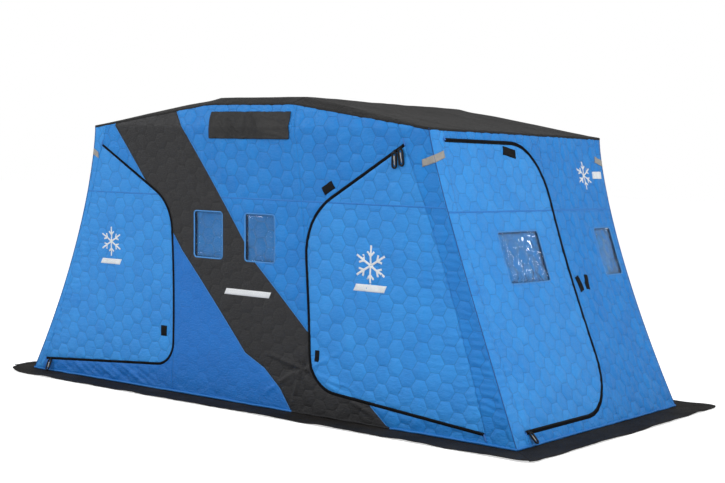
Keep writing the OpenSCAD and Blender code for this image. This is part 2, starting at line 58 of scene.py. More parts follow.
camera_place = Vector((6.146, -7.683, 1.613))
yaw, pitch, roll = 0.6604, -0.057, 0.0259
ahead = Vector((-math.sin(yaw) * math.cos(pitch), math.cos(yaw) * math.cos(pitch), math.sin(pitch)))
aside = Vector((math.cos(yaw), math.sin(yaw), 0))
upward = aside.cross(ahead)
tilted_aside = aside * math.cos(roll) + upward * math.sin(roll)
tilted_up = upward * math.cos(roll) - aside * math.sin(roll)
camera_turn = Matrix((tilted_aside, tilted_up, -ahead)).transposed().to_4x4()
lens_data = bpy.data.cameras.new("studio_camera")
lens_data.lens, lens_data.sensor_width, lens_data.clip_end = 68.32, 36, 200
camera = put_object("studio_camera", lens_data)
camera.matrix_world = Matrix.Translation(camera_place) @ camera_turn
bpy.context.scene.camera = camera
bpy.context.scene.view_settings.view_transform = "Standard"


def new_material(name):
    """A node material, its tree and its Principled shader."""
    material = bpy.data.materials.new(name)
    material.use_nodes = True
    return material, material.node_tree, material.node_tree.nodes["Principled BSDF"]


def add_node(tree, kind, **settings):
    """A shader or geometry node with its properties and input values set."""
    node = tree.nodes.new(kind)
    for key, value in settings.items():
        if hasattr(node, key) and not key.startswith("in_"):
            setattr(node, key, value)
        else:
            set_inputs(node, **{key[3:]: value})
    return node


def set_inputs(node, **values):
    """Sets a node's inputs by name."""
    for key, value in values.items():
        node.inputs[key.replace("_", " ")].default_value = value


def map_range(tree, value, low, high, to_low, to_high):
    """A socket's value carried from one range to another."""
    node = add_node(tree, "ShaderNodeMapRange", in_From_Min=low, in_From_Max=high)
    set_inputs(node, To_Min=to_low, To_Max=to_high)
    tree.links.new(value, node.inputs["Value"])
    return node.outputs[0]


def camera_only(tree, low, high, socket):
    """Gives a socket its high value where the camera looks straight at it."""
    seen = tree.nodes.new("ShaderNodeLightPath")
    tree.links.new(map_range(tree, seen.outputs["Is Camera Ray"], 0.0, 1.0, low, high), socket)


sky = bpy.data.worlds.new("white_sky")
sky.use_nodes = True
backdrop = sky.node_tree.nodes["Background"]
set_inputs(backdrop, Color=(1, 1, 1, 1))
camera_only(sky.node_tree, 0.50, 1.0, backdrop.inputs["Strength"])
bpy.context.scene.world = sky


def soft_light(name, place, aim, size, power):
    """A large square light at place, facing aim."""
    data = bpy.data.lights.new(name, "AREA")
    data.shape, data.size, data.energy = "SQUARE", size, power
    lamp = put_object(name, data)
    lamp.location = place
    lamp.rotation_euler = (Vector(aim) - Vector(place)).to_track_quat("-Z", "Y").to_euler()


soft_light("key_light", (7.5, -3.5, 6.5), (0.6, -0.4, 0.8), 3.0, 400)
soft_light("fill_light", (-6.5, -7.0, 6.0), (-0.6, -0.6, 0.8), 3.5, 345)
soft_light("back_light", (5.2, 6.8, 3.4), (1.9, 0.0, 1.1), 0.6, 30)

floor_mesh = bpy.data.meshes.new("pale_floor")
floor_half, floor_z = 60, -0.002
floor_corners = [(x * floor_half, y * floor_half, floor_z) for x, y in ((-1, -1), (1, -1), (1, 1), (-1, 1))]
floor_mesh.from_pydata(floor_corners, [], [(0, 1, 2, 3)])
floor = put_object("pale_floor", floor_mesh)
floor_paint, paint_tree, floor_shader = new_material("floor_paint")
set_inputs(floor_shader, Base_Color=(0.9, 0.9, 0.9, 1), Roughness=0.85, Emission_Color=(1, 1, 1, 1))
camera_only(paint_tree, 0.0, 0.62, floor_shader.inputs["Emission Strength"])
floor_mesh.materials.append(floor_paint)


# ---- Wall cloth: the shapes that every quilted panel is cut to ----
# The shell is sewn from insulated cloth, quilted in hexagons and stretched over
# the poles. The long walls bow inwards and the end walls flare to the ground.
eave_height, crest_height = 1.83, 1.982
half_base, half_roof = (2.13, 1.032), (1.463, 1.047)
half_crest = (0.377, 1.010)
front_seam_height, end_seam_height = 1.36, 1.335
wall_bow, end_flare = 0.048, 1.27
lining_gap = 0.0085


def half_length(z):
    """Half the hut's length at height z."""
    return half_roof[0] + (half_base[0] - half_roof[0]) * np.clip(1 - z / eave_height, 0, 1) ** end_flare


def half_width(z):
    """Half the hut's width at height z."""
    t = z / eave_height
    wall = half_base[1] + (half_roof[1] - half_base[1]) * t - 4 * wall_bow * t * (1 - t)
    lean = half_roof[1] + (half_crest[1] - half_roof[1]) * (z - eave_height) / (crest_height - eave_height)
    return np.where(z > eave_height, lean, wall)


def half_at(half, z):
    """Half the hut's length or width at one height."""
    return float(half(np.array(z)))


def rounded_outline(corners, radii, steps=8):
    """Closed outline with an arc at each corner."""
    corners, out = [np.array(c, float) for c in corners], []
    for before, here, after, r in zip(corners[-1:] + corners[:-1], corners, corners[1:] + corners[:1], radii):
        if r <= 0:
            out.append(here)
            continue
        u, v = (before - here) / np.linalg.norm(before - here), (after - here) / np.linalg.norm(after - here)
        half = math.acos(np.clip(u @ v, -1, 1)) / 2
        middle = here + (u + v) / np.linalg.norm(u + v) * r / math.sin(half)
        start, end = here + u * r / math.tan(half) - middle, here + v * r / math.tan(half) - middle
        a0 = math.atan2(start[1], start[0])
        sweep = (math.atan2(end[1], end[0]) - a0 + math.pi) % (2 * math.pi) - math.pi
        out += [middle + r * np.array((math.cos(a0 + sweep * k / steps), math.sin(a0 + sweep * k / steps)))
                for k in range(steps + 1)]
    return np.array(out)


def moved_edges(corners, distances):
    """The corners of an outline whose edges are moved inwards by their own distances."""
    pts, out = [np.array(c, float) for c in corners], []
    for k in range(len(pts)):
        a, b, c = pts[k - 1], pts[k], pts[(k + 1) % len(pts)]
        u, v = (b - a) / np.linalg.norm(b - a), (c - b) / np.linalg.norm(c - b)
        p = b + np.array((-u[1], u[0])) * distances[k - 1]
        q = b + np.array((-v[1], v[0])) * distances[k]
        out.append(p + u * np.cross(q - p, v) / np.cross(u, v))
    return out


class Door:
    """A zipped door: its corners run from the fold's foot round the zip to the fold's top."""
    def __init__(self, corners, low_radius, high_radius, flipped=False):
        self.corners, self.radii, self.flipped = corners, (low_radius, high_radius), flipped

    def outline(self, zip_inset, fold_inset):
        shape = rounded_outline(moved_edges(self.corners, [zip_inset] * 3 + [fold_inset]),
                                [0, self.radii[0] - zip_inset, self.radii[1] - zip_inset, 0])
        return shape * (-1, 1) if self.flipped else shape


def hinge_corner(inset, z, half):
    """A door's corner on its fold, set in from the hut's corner."""
    return (inset - half_at(half, z), z)


left_door = Door([hinge_corner(0.09, 0.093, half_length), (-0.665, 0.19), (-0.725, 1.30),
                  hinge_corner(0.09, 1.693, half_length)], 0.15, 0.31)
right_door = Door([hinge_corner(0.2, 0.066, half_length), (-0.575, 0.18), (-0.476, 1.255),
                   hinge_corner(0.2, 1.727, half_length)], 0.24, 0.42, flipped=True)
end_door = Door([hinge_corner(0.14, 0.083, half_width), (0.206, 0.083), (0.206, 1.762),
                 hinge_corner(0.14, 1.762, half_width)], 0.34, 0.36)
door_gap = 0.008

left_bends = [(0.442, 0), (0.321, 0.146), (0.178, 0.259), (0, 0.34), (-0.62, 0.985), (-1.255, 1.83)]
right_bends = [(1.228, 0), (0.54, 0.52), (0.058, 0.945), (-0.7, 1.982)]


def along_bends(bends, z):
    """Where a bent edge crosses height z."""
    return np.interp(z, [b[1] for b in bends], [b[0] for b in bends])


def stripe_left(z):
    """Where the dark stripe starts at height z."""
    return along_bends(left_bends, z)


def stripe_right(z):
    """Where the dark stripe ends at height z."""
    return along_bends(right_bends, z)


def sampled(points, step, closed=False):
    """A polyline with points no further apart than step."""
    pts = np.vstack([points, points[:1]]) if closed else np.asarray(points, float)
    out = []
    for a, b in zip(pts[:-1], pts[1:]):
        n = max(1, int(round(np.linalg.norm(b - a) / step)))
        out += [a + (b - a) * k / n for k in range(n)]
    return np.array(out if closed else out + [pts[-1]])


def inside(points, outline):
    """Which of the points lie in a closed outline."""
    x, y = points[:, 0], points[:, 1]
    hit = np.zeros(len(points), bool)
    for (ax, ay), (bx, by) in zip(outline, np.roll(outline, -1, axis=0)):
        crosses = (ay > y) != (by > y)
        hit ^= crosses & (x < (bx - ax) * (y - ay) / (by - ay + 1e-18) + ax)
    return hit


def smooth_noise(u, v, scale, seed):
    """Soft random waves from -1 to 1, about scale metres across."""
    p, q = u / scale + 91.7 * seed, v / scale + 37.3 * seed
    i, j = np.floor(p), np.floor(q)
    fu, fv = p - i, q - j
    fu, fv = fu * fu * (3 - 2 * fu), fv * fv * (3 - 2 * fv)

    def knot(a, b):
        s = np.sin(a * 127.1 + b * 311.7 + seed * 17.0) * 43758.5453
        return (s - np.floor(s)) * 2 - 1
    low = knot(i, j) * (1 - fu) + knot(i + 1, j) * fu
    high = knot(i, j + 1) * (1 - fu) + knot(i + 1, j + 1) * fu
    return low * (1 - fv) + high * fv


def near_tree(points):
    """A search tree of plane points."""
    tree = KDTree(len(points))
    for k, p in enumerate(points):
        tree.insert((*p, 0), k)
    tree.balance()
    return tree


def far_points(points, tree, gap):
    """The points that lie further than gap from every point of a tree."""
    return [p for p in points if tree.find((*p, 0))[2] > gap]


def grid_over(points, step):
    """A square grid over the box of some plane points."""
    low, high = points.min(0), points.max(0)
    axes = [np.arange(a, b, step) for a, b in zip(low, high)]
    return np.stack(np.meshgrid(*axes), -1).reshape(-1, 2)


def triangulate(points, edges):
    """Plane points joined to triangles that keep every edge, and which point each one was."""
    made = delaunay_2d_cdt([Vector(p) for p in points], edges, [], 0, 1e-7)
    spots = np.array([tuple(v) for v in made[0]])
    return spots, np.array([f for f in made[2] if len(f) == 3]), made[3]


def filled(outline, edge_step, grid_step):
    """Points and triangles that fill an outline."""
    edge = sampled(outline, edge_step, closed=True)
    grid = grid_over(edge, grid_step)
    grid = [p for p in grid[inside(grid, outline)] if np.hypot(*(edge - p).T).min() > 0.5 * grid_step]
    edges = [(k, (k + 1) % len(edge)) for k in range(len(edge))]
    spots, tris, _ = triangulate(list(edge) + grid, edges)
    return spots, tris[inside(spots[tris].mean(1), outline)]


def rim_of(tris):
    """The edges that only one triangle has."""
    edges = {(int(f[i]), int(f[(i + 1) % 3])): True for f in tris for i in range(3)}
    return [(a, b) for a, b in edges if (b, a) not in edges]


def shell_faces(tris, n, base=0):
    """Faces of a closed sheet whose n upper points are followed by its n lower ones."""
    tris = [tuple(int(base + v) for v in f) for f in tris]
    sides = [(b, a, n + a, n + b) for a, b in rim_of(tris)]
    return tris + [tuple(n + v for v in f[::-1]) for f in tris] + sides


hex_side = 0.0635
hex_flat = hex_side * math.sqrt(3)
row_shift = (0.041, 0.033)


def hexagons(u, v):
    """Distance to the nearest sewn line of the quilting, and a random number for each hexagon."""
    best, cell = None, None
    for du, dv in ((0, 0), (1.5 * hex_side, hex_flat / 2)):
        i, j = np.round((u - du) / (3 * hex_side)), np.round((v - dv) / hex_flat)
        x, y = np.abs(u - du - 3 * hex_side * i), np.abs(v - dv - hex_flat * j)
        d = hex_flat / 2 - np.maximum(y, x * math.sqrt(0.75) + y / 2)
        s = np.sin(i * 12.9898 + j * 78.233 + du * 371.0) * 43758.5453
        s -= np.floor(s)
        best, cell = (d, s) if best is None else (np.maximum(best, d), np.where(d > best, s, cell))
    return best, cell


def ridge(u, v, start, end, height, width):
    """A soft fold in the cloth from start to end that dies away at both ends."""
    a, b = np.array(start), np.array(end)
    d = b - a
    t = ((u - a[0]) * d[0] + (v - a[1]) * d[1]) / (d @ d)
    off = ((u - a[0]) * -d[1] + (v - a[1]) * d[0]) / math.sqrt(d @ d)
    along = np.clip(4 * t * (1 - t), 0, 1)
    return height * np.sqrt(along) * np.exp(-(off / width) ** 2) * (1 - 2 * (off / width) ** 2 * 0.35)


class Wall:
    """One wall's cloth. Plane points are (distance across, height)."""
    def __init__(self, along_x, turned, seams, row_seam, folds, puff, calm=()):
        self.along_x, self.turned, self.row_seam, self.calm = along_x, turned, row_seam, calm
        self.folds, self.puff = folds, puff
        self.half = half_width if along_x else half_length
        self.heights = np.linspace(0, crest_height, 400)
        climbs = np.hypot(np.diff(self.heights), np.diff(self.half(self.heights)))
        self.climb = np.concatenate([[0], np.cumsum(climbs)])
        self.seam_tree = near_tree(np.vstack([sampled(line, 0.006) for line in seams]))

    def cloth(self, points, above=None):
        """Where plane points lie on the flat cloth, with each row's own hexagon start."""
        above = points[:, 1] > self.row_seam if above is None else above
        x, z = points[:, 0], points[:, 1]
        drift = [0.009 * smooth_noise(x, z, 0.19, wide) + 0.004 * smooth_noise(x, z, 0.07, fine)
                 for wide, fine in ((5, 9), (6, 8))]
        climbed = np.interp(z, self.heights, self.climb)
        return x + row_shift[0] * above + drift[0], climbed + row_shift[1] * above + drift[1]

    def relief(self, points):
        """How far the cloth stands off the plain wall, in metres."""
        u, v = self.cloth(points)
        near = np.array([self.seam_tree.find((x, z, 0))[2] for x, z in points])
        fade = np.clip(near / 0.03, 0, 1)
        fade = fade * fade * (3 - 2 * fade)
        line, cell = hexagons(u, v)
        sewn = np.exp(-np.clip(line, 0, 1) / 0.014)
        puffed = self.puff(points)
        for outline in self.calm:
            puffed = np.where(inside(points, outline), 0.1, puffed)
        lift = puffed * (0.0040 + 0.0036 * cell) * (1 - sewn)
        lift += puffed * 0.0016 * smooth_noise(u, v * 0.8, 0.024, 3) * sewn
        small = 0.0016 * smooth_noise(u, v * 0.7, 0.06, 2) + 0.0011 * smooth_noise(u, v * 0.5, 0.035, 4)
        lift += 0.0030 * smooth_noise(u, v, 0.21, 1) + puffed * small
        return np.maximum(fade * (lift + self.folds(points[:, 0], points[:, 1])), -0.0065)

    def place(self, points, lift=0.0, with_relief=True):
        """Plane points in space, lifted off the wall along its normal."""
        z = points[:, 1]
        slope = (self.half(z + 1e-4) - self.half(z - 1e-4)) / 2e-4
        size = np.sqrt(1 + slope ** 2)
        off = lift + (self.relief(points) if with_relief else 0)
        out = self.half(z) + off / size
        z3 = z - off * slope / size
        spot = np.stack([points[:, 0], -out, z3] if self.along_x else [out, points[:, 0], z3], axis=1)
        return spot * (-1, -1, 1) if self.turned else spot


def cloth_mesh(name, triangles, plane, wall, inner_step):
    """A closed quilted panel from its outer triangles: outer face, sewn rim and plainer lining."""
    used, flat = np.unique(triangles, return_inverse=True)
    outer = flat.reshape(-1, 3)
    pts = plane[used]
    rim = rim_of(outer)
    rim_points = sorted({p for e in rim for p in e})
    slot_of = {p: k for k, p in enumerate(rim_points)}
    tree = near_tree(pts[rim_points])
    grid = np.array(far_points(grid_over(pts, inner_step), tree, 0.6 * inner_step)).reshape(-1, 2)
    edges = [(slot_of[a], slot_of[b]) for a, b in rim]
    lining, faces, source = triangulate(np.vstack([pts[rim_points], grid]), edges)
    centre = lining[faces].mean(1)
    hits = np.zeros(len(centre), int)
    for a, b in rim:
        (ax, ay), (bx, by) = pts[a], pts[b]
        cross = (ay > centre[:, 1]) != (by > centre[:, 1])
        if cross.any():
            hits[cross] += centre[cross, 0] < (bx - ax) * (centre[cross, 1] - ay) / (by - ay) + ax
    faces = faces[hits % 2 == 1]
    n = len(pts)
    back = {ids[0]: n + k for k, ids in enumerate(source) if ids}
    sides = [(b, a, back[slot_of[a]], back[slot_of[b]]) for a, b in rim]
    polys = [tuple(f) for f in outer] + sides + [tuple(n + f[::-1]) for f in faces]
    mesh = bpy.data.meshes.new(name)
    lining_xyz = wall.place(lining, -lining_gap, with_relief=False)
    mesh.from_pydata(np.vstack([wall.place(pts), lining_xyz]).tolist(), [], polys)
    is_lining = [0] * (len(outer) + len(sides)) + [1] * len(faces)
    is_smooth = [True] * len(outer) + [False] * len(sides) + [True] * len(faces)
    mesh.polygons.foreach_set("material_index", is_lining)
    mesh.polygons.foreach_set("use_smooth", is_smooth)
    every = np.vstack([pts, lining])
    loops = np.array([v for p in polys for v in p])
    middle = np.array([every[list(p)].mean(0) for p in polys])
    row = np.repeat(middle[:, 1] > wall.row_seam, [len(p) for p in polys])
    layer = mesh.uv_layers.new(name="cloth")
    layer.data.foreach_set("uv", np.stack(wall.cloth(every[loops], row), 1).ravel())
    return put_object(name, mesh)


def cut_wall(wall, outline, lines, step=hex_side / 5):
    """Points and triangles of a whole wall, with an edge along every line and every sewn groove."""
    chains = [(outline, True)] + lines
    points, edges = [], []
    for line, closed in chains:
        pts = sampled(line, step, closed)
        base = len(points)
        points += list(pts)
        edges += [(base + k, base + k + 1) for k in range(len(pts) - 1)]
        if closed:
            edges.append((base + len(pts) - 1, base))
    grid, rise = [], step * math.sqrt(0.75)
    for above in (False, True):
        du, dv = row_shift if above else (0, 0)
        for r in range(-2, int(2.4 / rise)):
            z = np.interp(r * rise - dv, wall.climb, wall.heights, left=-1, right=-1)
            if z < 0.004 or (z > wall.row_seam) != above:
                continue
            u = (np.arange(-240, 240) + (r % 2) / 2) * step - du
            grid.append(np.stack([u, np.full_like(u, z)], 1))
    grid = np.vstack(grid)
    grid = far_points(grid[inside(grid, outline)], near_tree(points), 0.55 * step)
    plane, faces, _ = triangulate(points + grid, edges)
    return plane, faces[inside(plane[faces].mean(1), outline)]


def side_line(half, top, sign):
    """A side edge of a wall, from the ground up."""
    z = np.linspace(0, top, 60)
    return np.stack([sign * half(z), z], 1)


def box_outline(x, foot, width, height, radius=0.018):
    """An upright oblong with rounded corners."""
    return rounded_outline([(x - width / 2, foot), (x + width / 2, foot), (x + width / 2, foot + height),
                            (x - width / 2, foot + height)], [radius] * 4, 4)


window_size = (0.256, 0.308)
front_windows = [box_outline(x, 0.95, *window_size) for x in (-0.369, 0.099)]
small_window_x = half_at(half_width, 0.9) - 0.068 - 0.116
small_window = box_outline(small_window_x, 0.9, 0.232, 0.308)
door_window = box_outline(-0.29, 0.9, 0.47, 0.308)

front_outline = np.vstack([side_line(half_length, eave_height, 1),
                           [(half_crest[0], crest_height), (-half_crest[0], crest_height)],
                           side_line(half_length, eave_height, -1)[::-1]])
end_outline = np.vstack([side_line(half_width, eave_height, 1), side_line(half_width, eave_height, -1)[::-1]])
stripe_z = np.union1d(np.linspace(0, crest_height, 50), [b[1] for b in left_bends + right_bends])
stripe_edges = [np.stack([edge(stripe_z), stripe_z], 1) for edge in (stripe_left, stripe_right)]
stripe_outline = np.vstack([stripe_edges[0], stripe_edges[1][::-1]])


def front_puff(points):
    """The lower left panel is nearly smooth, and the stripe's quilting is faint."""
    x, z = points[:, 0], points[:, 1]
    lower = (x < stripe_left(z)) & (x > -0.72) & (z < 1.0)
    return np.where(lower, 0.25, np.where(x < stripe_right(z), np.where(x < stripe_left(z), 0.8, 0.45), 1.0))


def ramp(value, start, width):
    """From 0 at start to 1 a width further on."""
    return np.clip((value - start) / width, 0, 1)


def ridges(lift, u, v, lines, height, width):
    """Adds a soft fold along each line, all of one height and width."""
    for start, end in lines:
        lift = lift + ridge(u, v, start, end, height, width)
    return lift


def corner_crinkles(distance, z, seed):
    """Short gathers that run away from a corner seam, strongest in its lower half."""
    strength = np.exp(-distance / 0.24) * np.clip((1.52 - z) / 0.5, 0, 1) * np.clip((z - 0.05) / 0.2, 0, 1)
    wander = smooth_noise(distance, z, 0.12, seed) * 2.2
    uneven = 0.6 + 0.4 * smooth_noise(distance * 0.3, z, 0.05, seed + 1)
    gather = np.sin(2 * math.pi * z / 0.046 + wander) * uneven
    return 0.0100 * strength * gather * (0.7 + 0.3 * smooth_noise(distance, z, 0.09, seed + 2))


top_pulls = [((1.30, 1.58), (1.02, 1.30)), ((1.38, 1.50), (1.16, 1.22)), ((0.98, 1.74), (0.70, 1.60)),
             ((0.55, 1.86), (0.30, 1.72)), ((0.9, 1.79), (0.62, 1.70)), ((-0.6, 1.7), (-0.5, 1.45))]
tie_x, tie_z = 0.498, 0.288
tie_pulls = [((0.50, 0.29), (0.95, 0.20)), ((0.50, 0.29), (0.18, 0.36)), ((0.52, 0.28), (0.80, 0.42)),
             ((0.5, 0.3), (0.42, 0.02)), ((0.56, 0.27), (1.15, 0.05)), ((0.45, 0.27), (0.2, 0.1))]
end_pulls = [((-0.62, 0.90), (-0.80, 0.74)), ((-0.02, 0.90), (0.14, 0.80)), ((-0.58, 1.22), (-0.78, 1.32)),
             ((-0.86, 1.1), (-0.6, 1.02)), ((-0.84, 0.62), (-0.5, 0.55)), ((-0.82, 0.42), (-0.48, 0.40))]


def front_folds(x, z):
    """Pulls in the long wall: at the corners, round the right door and below the zips."""
    lift = np.zeros_like(x)
    right, left = half_length(z) - x, half_length(z) + x
    lift += corner_crinkles(np.abs(right), z, 11) + 0.5 * corner_crinkles(np.abs(left), z, 12)
    turned = ramp(x, 1.425, 0.02) * ramp(right, 0, 0.05) * ramp(-z, -1.8, 0.1)
    lift -= 0.006 * turned
    crumple = ramp(x, -0.55, 0.1) * ramp(-x, -0.45, 0.1) * ramp(z, 1.30, 0.1)
    lift += 0.0030 * crumple * smooth_noise(x, z * 0.35, 0.030, 24)
    for k in range(7):
        start = (1.42 - 0.035 * k, 1.80 - 0.012 * k)
        end = (start[0] - 0.42 - 0.05 * (k % 3), start[1] - 0.34 + 0.03 * k)
        lift += ridge(x, z, start, end, 0.0030 if k % 2 else -0.0026, 0.016)
    lift = ridges(lift, x, z, top_pulls[::2], 0.0035, 0.022)
    lift = ridges(lift, x, z, top_pulls[1::2], 0.0035, 0.026)
    for k in range(7):
        start, end = (-1.93 + 0.14 * k, 0.155), (-1.66 + 0.15 * k, 0.02)
        lift += ridge(x, z, start, end, 0.0062 if k % 2 else -0.005, 0.013)
    hem = np.exp(-((z - 0.035) / 0.03) ** 2)
    lift += 0.004 * hem * smooth_noise(x, z * 0.3, 0.09, 21)
    lift += 0.0035 * np.exp(-z / 0.09) * smooth_noise(x, z, 0.05, 22)
    tie, angle = np.hypot(x - tie_x, z - tie_z), np.arctan2(z - tie_z, x - tie_x)
    lift += np.exp(-tie / 0.11) * (0.008 * np.sin(5 * angle + 0.7) - 0.009 * np.exp(-tie / 0.03))
    return ridges(lift, x, z, tie_pulls, 0.0085, 0.017)


def end_folds(y, z):
    """Pulls in the end wall: at both corners, below the door's window and along the hem."""
    near, far = half_width(z) + y, half_width(z) - y
    lift = corner_crinkles(np.abs(near), z, 14) + 0.7 * corner_crinkles(np.abs(far), z, 15)
    waver = y + 0.02 * smooth_noise(y, z, 0.2, 31)
    lift += 0.0022 * ramp(y, 0.24, 0.1) * np.sin(2 * math.pi * waver / 0.062)
    lift += ridge(y, z, (-0.60, 0.875), (-0.02, 0.865), 0.005, 0.022)
    lift = ridges(lift, y, z, end_pulls, 0.0035, 0.018)
    lift += 0.0090 * np.exp(-z / 0.08) * smooth_noise(y, z * 0.4, 0.030, 33)
    return lift + 0.0030 * smooth_noise(y, z, 0.045, 34) * ramp(-z, -1.3, 0.2)


def row_line(half, height):
    """A level line across a wall."""
    return np.array([(-half, height), (half, height)])


eave_line = np.array([(half_roof[0], eave_height), (half_crest[0], crest_height),
                      (-half_crest[0], crest_height),
                      (-half_roof[0], eave_height)])
front_seams = [side_line(half_length, eave_height, 1), side_line(half_length, eave_height, -1), eave_line]
front_seams += stripe_edges + [row_line(half_base[0], 0.0),
                               np.array([(0.62, front_seam_height), (1.58, front_seam_height)])]
front_seams += [np.array([(float(stripe_right(front_seam_height)), front_seam_height),
                          (0.62, front_seam_height)])]
end_seams = [side_line(half_width, eave_height, 1), side_line(half_width, eave_height, -1)]
end_seams += [row_line(1.05, eave_height), row_line(1.04, 0.0), row_line(1.03, end_seam_height)]
ring = lambda outline: np.vstack([outline, outline[:1]])
left_zip, right_zip, end_zip = [door.outline(0, -door_gap / 2) for door in (left_door, right_door, end_door)]
window_rings = [ring(w) for w in front_windows]
vent_outline = box_outline(0.024, 1.752, 0.700, 0.176, 0.006)


def full_puff(points):
    """The end walls puff up alike everywhere."""
    return np.ones(len(points))


def rear_folds(x, z):
    """Faint gathers beside the rear corners."""
    return 0.5 * corner_crinkles(half_length(z) - np.abs(x), z, 41)


def left_end_folds(y, z):
    """Faint gathers beside the left end's corners."""
    return 0.6 * corner_crinkles(half_width(z) - np.abs(y), z, 44)


front_wall = Wall(True, False, front_seams + [left_zip, right_zip] + window_rings, front_seam_height,
                  front_folds,
                  front_puff, [vent_outline])
end_wall = Wall(False, False, end_seams + [end_zip, ring(small_window), ring(door_window)], end_seam_height,
                end_folds, full_puff)
rear_wall = Wall(True, True, front_seams + window_rings, front_seam_height, rear_folds, front_puff,
                 [vent_outline])
far_end_wall = Wall(False, True, end_seams + [ring(small_window), ring(small_window * (-1, 1))],
                    end_seam_height,
                    left_end_folds, full_puff)


# ---- Cloth finishes ----
# The quilted cloth is a satin nylon face sewn through in hexagons. Sewn lines sink
# in, and their darker colour is partly the seam and partly painted shade in the groove; the face has a fine
# weave, faint wrinkles and dust.
def shader_group(name, inputs, outputs):
    """A new shader node group with its sockets, and its two end nodes."""
    group = bpy.data.node_groups.new(name, "ShaderNodeTree")
    for socket, kind, value in inputs:
        made = group.interface.new_socket(name=socket, in_out="INPUT", socket_type=kind)
        if value is not None:
            made.default_value = value
    for socket, kind in outputs:
        group.interface.new_socket(name=socket, in_out="OUTPUT", socket_type=kind)
    return group, group.nodes.new("NodeGroupInput"), group.nodes.new("NodeGroupOutput")


def math_node(tree, operation, *values):
    """A Math node whose inputs are numbers or sockets."""
    node = tree.nodes.new("ShaderNodeMath")
    node.operation = operation
    for k, value in enumerate(values):
        if isinstance(value, (int, float)):
            node.inputs[k].default_value = value
        else:
            tree.links.new(value, node.inputs[k])
    return node.outputs[0]


def vector_node(tree, operation, *values):
    """A Vector Math node whose inputs are triples or sockets."""
    node = tree.nodes.new("ShaderNodeVectorMath")
    node.operation = operation
    for k, value in enumerate(values):
        if isinstance(value, tuple):
            node.inputs[k].default_value = value
        else:
            tree.links.new(value, node.inputs[k])
    return node.outputs["Value"] if operation in ("LENGTH", "DOT_PRODUCT", "DISTANCE") else node.outputs[0]


def sewn_hexagon_group():
    """Sewn line mask, soft puff height and a random tone for each hexagon."""
    group, start, end = shader_group("sewn_hexagons", [("Cloth", "NodeSocketVector", None),
                                                       ("Line width", "NodeSocketFloat", 0.004)],
                                     [("Line", "NodeSocketFloat"), ("Puff", "NodeSocketFloat"),
                                      ("Tone", "NodeSocketFloat")])
    half = (1.5 * hex_side, hex_flat / 2, 1.0)
    found = []
    for shift in ((0, 0, 0), (-half[0], -half[1], 0)):
        moved = vector_node(group, "ADD", start.outputs["Cloth"], shift)
        local = vector_node(group, "WRAP", moved, half, tuple(-h for h in half))
        cell = vector_node(group, "ADD", vector_node(group, "SUBTRACT", moved, local), shift)
        size = vector_node(group, "ABSOLUTE", local)
        parts = group.nodes.new("ShaderNodeSeparateXYZ")
        group.links.new(size, parts.inputs[0])
        slant = vector_node(group, "DOT_PRODUCT", size, (math.sqrt(0.75), 0.5, 0))
        edge = math_node(group, "SUBTRACT", hex_flat / 2,
                         math_node(group, "MAXIMUM", parts.outputs[1], slant))
        found.append((edge, cell))
    distance = math_node(group, "MAXIMUM", found[0][0], found[1][0])
    first = math_node(group, "GREATER_THAN", found[0][0], found[1][0])
    pick = group.nodes.new("ShaderNodeMix")
    pick.data_type = "VECTOR"
    group.links.new(first, pick.inputs[0])
    group.links.new(found[1][1], pick.inputs[4])
    group.links.new(found[0][1], pick.inputs[5])
    dice = group.nodes.new("ShaderNodeTexWhiteNoise")
    nudged = vector_node(group, "ADD", pick.outputs[1], (0.004, 0.004, 0))
    group.links.new(vector_node(group, "SNAP", nudged, (0.01, 0.01, 1)), dice.inputs["Vector"])
    share = math_node(group, "DIVIDE", distance, start.outputs["Line width"])
    line = math_node(group, "SUBTRACT", 1.0, math_node(group, "SMOOTH_MIN", share, 1.0, 0.3))
    group.links.new(math_node(group, "MAXIMUM", line, 0.0), end.inputs["Line"])
    dent = math_node(group, "EXPONENT", math_node(group, "DIVIDE", distance, -0.008))
    group.links.new(math_node(group, "SUBTRACT", 1.0, dent), end.inputs["Puff"])
    group.links.new(dice.outputs["Value"], end.inputs["Tone"])
    return group


def noise(tree, place, **settings):
    """A noise texture's value at the given place socket."""
    node = add_node(tree, "ShaderNodeTexNoise", **settings)
    tree.links.new(place, node.inputs["Vector"])
    return node.outputs[0]


def woven_group():
    """Fine over and under threads, with soft wrinkles and patches of dust."""
    group, start, end = shader_group("woven_threads", [("Cloth", "NodeSocketVector", None),
                                                       ("Thread", "NodeSocketFloat", 0.0009)],
                                     [("Threads", "NodeSocketFloat"), ("Wrinkles", "NodeSocketFloat"),
                                      ("Dust", "NodeSocketFloat")])
    scaled = vector_node(group, "SCALE", start.outputs["Cloth"])
    group.links.new(math_node(group, "DIVIDE", math.pi, start.outputs["Thread"]), scaled.node.inputs["Scale"])
    parts = group.nodes.new("ShaderNodeSeparateXYZ")
    group.links.new(scaled, parts.inputs[0])
    weave = math_node(group, "MULTIPLY", math_node(group, "SINE", parts.outputs[0]),
                      math_node(group, "SINE", parts.outputs[1]))
    group.links.new(weave, end.inputs["Threads"])
    stretched = vector_node(group, "MULTIPLY", start.outputs["Cloth"], (1.0, 2.2, 1.0))
    wrinkles = noise(group, stretched, in_Scale=38.0, in_Detail=4.0, in_Roughness=0.62, in_Distortion=0.9)
    group.links.new(wrinkles, end.inputs["Wrinkles"])
    dust = noise(group, start.outputs["Cloth"], in_Scale=3.1, in_Detail=5.0, in_Roughness=0.65)
    group.links.new(dust, end.inputs["Dust"])
    return group


hexagon_group, thread_group = sewn_hexagon_group(), woven_group()


